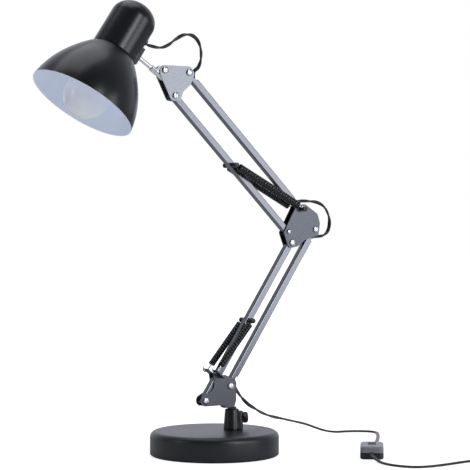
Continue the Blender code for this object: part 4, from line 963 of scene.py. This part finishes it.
BULB_RADIUS, BULB_BACK = 0.0300, 0.0120
BULB_LONG, CAP_LONG = 0.0670, 0.0240      # from the globe's middle to the cap's end
bulb_at = -(DEPTH - BULB_BACK)
neck_low = bulb_at + BULB_LONG - CAP_LONG - 0.0003
glass_profile = [(0.0125, neck_low), (0.0131, neck_low - 0.0030), (0.0150, neck_low - 0.0080)]
first = math.degrees(math.asin(0.0190 / BULB_RADIUS))
globe_angles = [math.radians(first + (180 - first) * k / 20) for k in range(21)]
glass_profile += [(BULB_RADIUS * math.sin(a), bulb_at + BULB_RADIUS * math.cos(a))
                  for a in globe_angles[:-1]]
glass_profile.append((0.0, bulb_at - BULB_RADIUS))
bulb = turned("bulb_globe", [(0.0, neck_low), *glass_profile], 72, neck_place, 60.0)
# The bulb is not lit; its faint emission is a painted glow that brightens the frosted glass.
bulb_frost = finish("bulb_frost", (0.84, 0.87, 0.95), 0.22, drift=0.03, relief=0.01,
                    coat=0.5, coat_roughness=0.05)
dress(bulb, painted_glow(bulb_frost, (1.0, 1.0, 1.0), 0.10))
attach(bulb, "head")
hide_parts("bulb_glass")

# ------------------------------------------------------------------ flex loops
# The same flex shows in a loop from the neck's grommet to the upper rear bar, and in a
# loop round the elbow from one rear bar to the next.

grommet_skin = neck_foot - neck_way * 0.0390 - rod_way * NECK_RADIUS
loop_start = grommet_skin - rod_way * 0.0010
into_bar, into_way = slot_mouth(upper_rear_end, upper_way, -1)
head_loop_line = smooth_line(
    [
        loop_start,
        loop_start - rod_way * 0.0054,
        (-0.0840, 0.0, 0.5352),
        (-0.0720, 0.0, 0.5388),
        (-0.0600, 0.0, 0.5470),
        (-0.0480, 0.0, 0.5535),
        (-0.0360, 0.0, 0.5540),
        (-0.0265, 0.0, 0.5480),
        (-0.0215, 0.0, 0.5370),
        (-0.0210, 0.0, 0.5240),
        (-0.0250, 0.0, 0.5125),
        into_bar + into_way * 0.0060,
        into_bar - into_way * 0.0006,
    ],
    0.0022,
)
split = len(head_loop_line) * 11 // 20
roll_along = rolling(head_loop_line, 1.1, 3.0)
last = len(head_loop_line) - 1
head_part = swept("head_loop_front", head_loop_line[: split + 1], flex_section,
                  lambda share: roll_along(share * split / last))
rear_part = swept("head_loop_rear", head_loop_line[split:], flex_section,
                  lambda share: roll_along((split + share * (last - split)) / last))
dress(head_part, flex_sheath)
dress(rear_part, flex_sheath)
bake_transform(head_part)
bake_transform(rear_part)
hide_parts("cord_head_loop")

out_of_bar, out_way = slot_mouth(upper_foot, upper_way, 1)
lower_head = pivot["lower_rear_bar_turn"]
into_lower, into_lower_way = slot_mouth(lower_head, lower_way, -1)
elbow_line = smooth_line(
    [
        out_of_bar + out_way * 0.0006,
        out_of_bar + out_way * 0.0080,
        (0.1560, 0.0, 0.3366),
        (0.1690, 0.0, 0.3345),
        (0.1800, 0.0, 0.3282),
        (0.1870, 0.0, 0.3170),
        (0.1885, 0.0, 0.3060),
        (0.1855, 0.0, 0.2955),
        (0.1780, 0.0, 0.2895),
        into_lower + into_lower_way * 0.0080,
        into_lower + into_lower_way * 0.0006,
    ],
    0.0022,
)
elbow_loop = swept("elbow_loop_flex", elbow_line, flex_section, rolling(elbow_line, 0.9, 2.5))
dress(elbow_loop, flex_sheath)
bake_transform(elbow_loop)
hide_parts("cord_elbow_loop")

# ------------------------------------------------------------------ switch
# In-line rocker switch: a black base shell and a dark grey cover with a long rocker.

switch_place = Matrix.Translation(switch_middle) @ Matrix.Rotation(switch_turn, 4, "Z")


def rounded_block(name, long, wide, low, high, corner, crown, place, flat_end=0.0):
    """A block with round upright corners and softened top and bottom edges."""
    bm = bmesh.new()
    outline = []
    for cx, cy, begin in ((1, 1, 0), (-1, 1, 90), (-1, -1, 180), (1, -1, 270)):
        for k in range(9):
            a = math.radians(begin + 90 * k / 8)
            outline.append((cx * (long / 2 - corner) + corner * math.cos(a),
                            cy * (wide / 2 - corner) + corner * math.sin(a)))
    layers = [(low, flat_end), (low + flat_end, 0.0)]
    layers += [(high - crown + crown * math.sin(a), crown * (1 - math.cos(a)))
               for a in (math.radians(15 * k) for k in range(7))]
    rings = [[bm.verts.new((x * (1 - 2 * inset / long), y * (1 - 2 * inset / wide), z))
              for x, y in outline] for z, inset in layers]
    skin(bm, rings)
    bm.faces.new(reversed(rings[0]))
    bm.faces.new(rings[-1])
    bm.transform(place)
    return finished(name, bm, 40.0)


split_z = SWITCH_HIGH / 2
CORNER = 0.006
shell = rounded_block("switch_shell_low", SWITCH_LONG, SWITCH_WIDE, 0.0, split_z, CORNER, 0.0003,
                      switch_place, 0.0012)
dress(shell, black_moulding)
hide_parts("switch_base")
shell_top = rounded_block("switch_shell_top", SWITCH_LONG, SWITCH_WIDE, split_z + 0.0003,
                          SWITCH_HIGH, CORNER, 0.0030, switch_place)
window = block("window", (0.0180, 0.0110, 0.0100),
               switch_place @ Matrix.Translation((0, 0, SWITCH_HIGH)))
shell_top = joined(shell_top, window, "DIFFERENCE")
switch_grey = finish("switch_grey", (0.22, 0.225, 0.235), 0.36, drift=0.08,
                     grain_scale=1500, relief=0.08)
dress(shell_top, switch_grey)
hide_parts("switch_cover")
for piece, slot in ((shell, "black_plastic"), (shell_top, "switch_top")):
    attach(piece, "base")
rocker_place = Matrix.Translation(pivot["rocker_press"]) @ Matrix.Rotation(switch_turn, 4, "Z")
rocker_bm = bmesh.new()
profile = [(-0.0082, 0.0006), (-0.0079, 0.0008), (-0.0060, 0.0007), (-0.0030, 0.0007),
           (0.0, 0.0009), (0.0030, 0.0014), (0.0060, 0.0021), (0.0079, 0.0026), (0.0082, 0.0024),
           (0.0082, -0.0022), (-0.0082, -0.0022)]
ROCKER_HALF = 0.0052
near_side = [rocker_bm.verts.new((x, -ROCKER_HALF, z)) for x, z in profile]
far_side = [rocker_bm.verts.new((x, ROCKER_HALF, z)) for x, z in profile]
rocker_bm.faces.new(near_side)
rocker_bm.faces.new(reversed(far_side))
skin(rocker_bm, [far_side, near_side])
rocker_bm.transform(rocker_place)
rocker = finished("rocker_key", rocker_bm, 50.0)
dress(rocker, black_moulding)
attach(rocker, "rocker")
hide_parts("switch_rocker")

# ------------------------------------------------------------------ plug
# Moulded plug on the end of the flex, with a ribbed grip and two flat pins.

plug_place = Matrix.Translation(plug_middle) @ Matrix.Rotation(plug_turn, 4, "Z")
plug_bm = bmesh.new()
rings = []
half, PLUG_STEPS = PLUG_LONG / 2, 28
profile = [(-half - RELIEF, 0.0024, 0.0024, 0.0044)]
for rib in range(6):
    at, grow = -half - RELIEF + 0.0010 + rib * 0.0034, 0.0024 + rib * 0.00028
    axis = 0.0044 + 0.0022 * (rib + 0.5) / 6
    profile += [(at, grow + 0.0004, grow + 0.0004, axis),
                (at + 0.0020, grow + 0.0006, grow + 0.0006, axis),
                (at + 0.0022, grow, grow, axis), (at + 0.0032, grow, grow, axis)]
profile += [(-0.0152, 0.0046, 0.0044, PLUG_AXIS), (-0.0110, 0.0066, 0.0052, PLUG_AXIS),
            (-0.0060, 0.0092, 0.0060, PLUG_AXIS), (-0.0010, 0.0106, 0.0064, PLUG_AXIS),
            (0.0060, 0.0109, 0.0065, PLUG_AXIS), (0.0150, 0.0109, 0.0065, PLUG_AXIS),
            (0.0160, 0.0104, 0.0061, PLUG_AXIS)]
for at, half_wide, half_high, axis in profile:
    power = 0.55 if at > -0.0140 else 1.0
    ring = []
    for k in range(PLUG_STEPS):
        a = 2 * math.pi * k / PLUG_STEPS
        x = math.copysign(abs(math.cos(a)) ** power, math.cos(a)) * half_wide
        z = math.copysign(abs(math.sin(a)) ** power, math.sin(a)) * half_high
        ring.append(plug_bm.verts.new((at, x, z + axis)))
    rings.append(ring)
skin(plug_bm, rings)
plug_bm.faces.new(rings[0])
plug_bm.faces.new(reversed(rings[-1]))
plug_bm.transform(plug_place)
plug = finished("plug_moulding", plug_bm, 50.0)
dress(plug, black_moulding)
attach(plug, "base")
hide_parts("plug_body")
dress(nodes["plug_pins"], finish("pin_metal", (0.72, 0.66, 0.48), 0.25, 1.0))

# ------------------------------------------------------------------ floor and light
# A white sweep, brightest behind the lamp, with two tall soft boxes in front, a weak one
# on the left and a broad one overhead.

floor_mesh = bpy.data.meshes.new("floor")
FLOOR_HALF, FLOOR_LEVEL = 8, -0.0002
corners = [(x * FLOOR_HALF, y * FLOOR_HALF, FLOOR_LEVEL)
           for x, y in ((-1, -1), (1, -1), (1, 1), (-1, 1))]
floor_mesh.from_pydata(corners, [], [(0, 1, 2, 3)])
floor = placed("floor", floor_mesh)
paper = finish("floor_paper", (0.80, 0.80, 0.80), 0.7, drift=0.0, spread=0.0, relief=0.0, specular=0.0)
painted_glow(paper, (1.0, 1.0, 1.0), 0.0)
sheet = paper.node_tree
seen = sheet.nodes.new("ShaderNodeLightPath")
ground = sheet.nodes.new("ShaderNodeTexCoord")
distance = made_node(sheet, "ShaderNodeVectorMath", operation="LENGTH")
fade = made_node(sheet, "ShaderNodeMapRange")
for key, value in (("From Min", 0.25), ("From Max", 1.3), ("To Min", 0.72), ("To Max", 1.05)):
    fade.inputs[key].default_value = value
glow = made_node(sheet, "ShaderNodeMath", operation="MULTIPLY")
link(sheet, ground.outputs["Object"], distance.inputs[0])
link(sheet, distance.outputs["Value"], fade.inputs["Value"])
link(sheet, fade.outputs["Result"], glow.inputs[1])
link(sheet, seen.outputs["Is Camera Ray"], glow.inputs[0])
link(sheet, glow.outputs[0], sheet.nodes["Principled BSDF"].inputs["Emission Strength"])
dress(floor, paper)

world = bpy.data.worlds.new("studio")
bpy.context.scene.world = world
world.use_nodes = True
sky = world.node_tree
background = sky.nodes["Background"]
background.inputs["Strength"].default_value = 1.0
ways = sky.nodes.new("ShaderNodeTexCoord")
towards = made_node(sky, "ShaderNodeVectorMath", operation="DOT_PRODUCT")
towards.inputs[1].default_value = (0.546, 0.838, 0.0)
link(sky, ways.outputs["Generated"], towards.inputs[0])
shading = sky.nodes.new("ShaderNodeValToRGB")
shading.color_ramp.interpolation = "EASE"
stops = shading.color_ramp.elements
stops[0].position, stops[0].color = 0.30, (0.085, 0.09, 0.10, 1.0)
stops[1].position, stops[1].color = 1.0, (0.86, 0.90, 1.0, 1.0)
middle = stops.new(0.62)
middle.color = (0.26, 0.28, 0.31, 1.0)
spread = made_node(sky, "ShaderNodeMath", operation="MULTIPLY_ADD")
spread.inputs[1].default_value, spread.inputs[2].default_value = 0.5, 0.5
link(sky, towards.outputs["Value"], spread.inputs[0])
link(sky, spread.outputs[0], shading.inputs["Fac"])
direct = sky.nodes.new("ShaderNodeLightPath")
backdrop = made_node(sky, "ShaderNodeMix", data_type="RGBA")
for socket in backdrop.inputs:
    if socket.name == "B" and socket.type == "RGBA":
        socket.default_value = (1.0, 1.0, 1.0, 1.0)
    if socket.name == "A" and socket.type == "RGBA":
        link(sky, shading.outputs["Color"], socket)
    if socket.name == "Factor" and socket.type == "VALUE":
        link(sky, direct.outputs["Is Camera Ray"], socket)
link(sky, next(o for o in backdrop.outputs if o.type == "RGBA"), background.inputs["Color"])


def soft_box(name, place, target, size, power):
    """A rectangular area light aimed at a point."""
    light = bpy.data.lights.new(name, "AREA")
    light.shape, light.size, light.size_y, light.energy = "RECTANGLE", size[0], size[1], power
    light.color = (0.93, 0.96, 1.0)
    place, target = Vector(place), Vector(target)
    aim = (target - place).to_track_quat("-Z", "Y").to_matrix().to_4x4()
    placed(name, light).matrix_world = Matrix.Translation(place) @ aim


soft_box("front_box", (0.28, -2.00, 0.85), (0.0, 0.0, 0.32), (0.45, 1.5), 15)
soft_box("right_box", (1.30, -1.80, 0.42), (0.0, 0.0, 0.30), (0.85, 1.5), 12)
soft_box("left_box", (-2.1, 0.35, 0.9), (0.0, 0.0, 0.35), (0.5, 1.4), 4)
soft_box("top_box", (-0.1, 0.3, 2.2), (0.0, 0.0, 0.2), (1.6, 1.6), 12)
bpy.context.scene.view_settings.view_transform = "Standard"
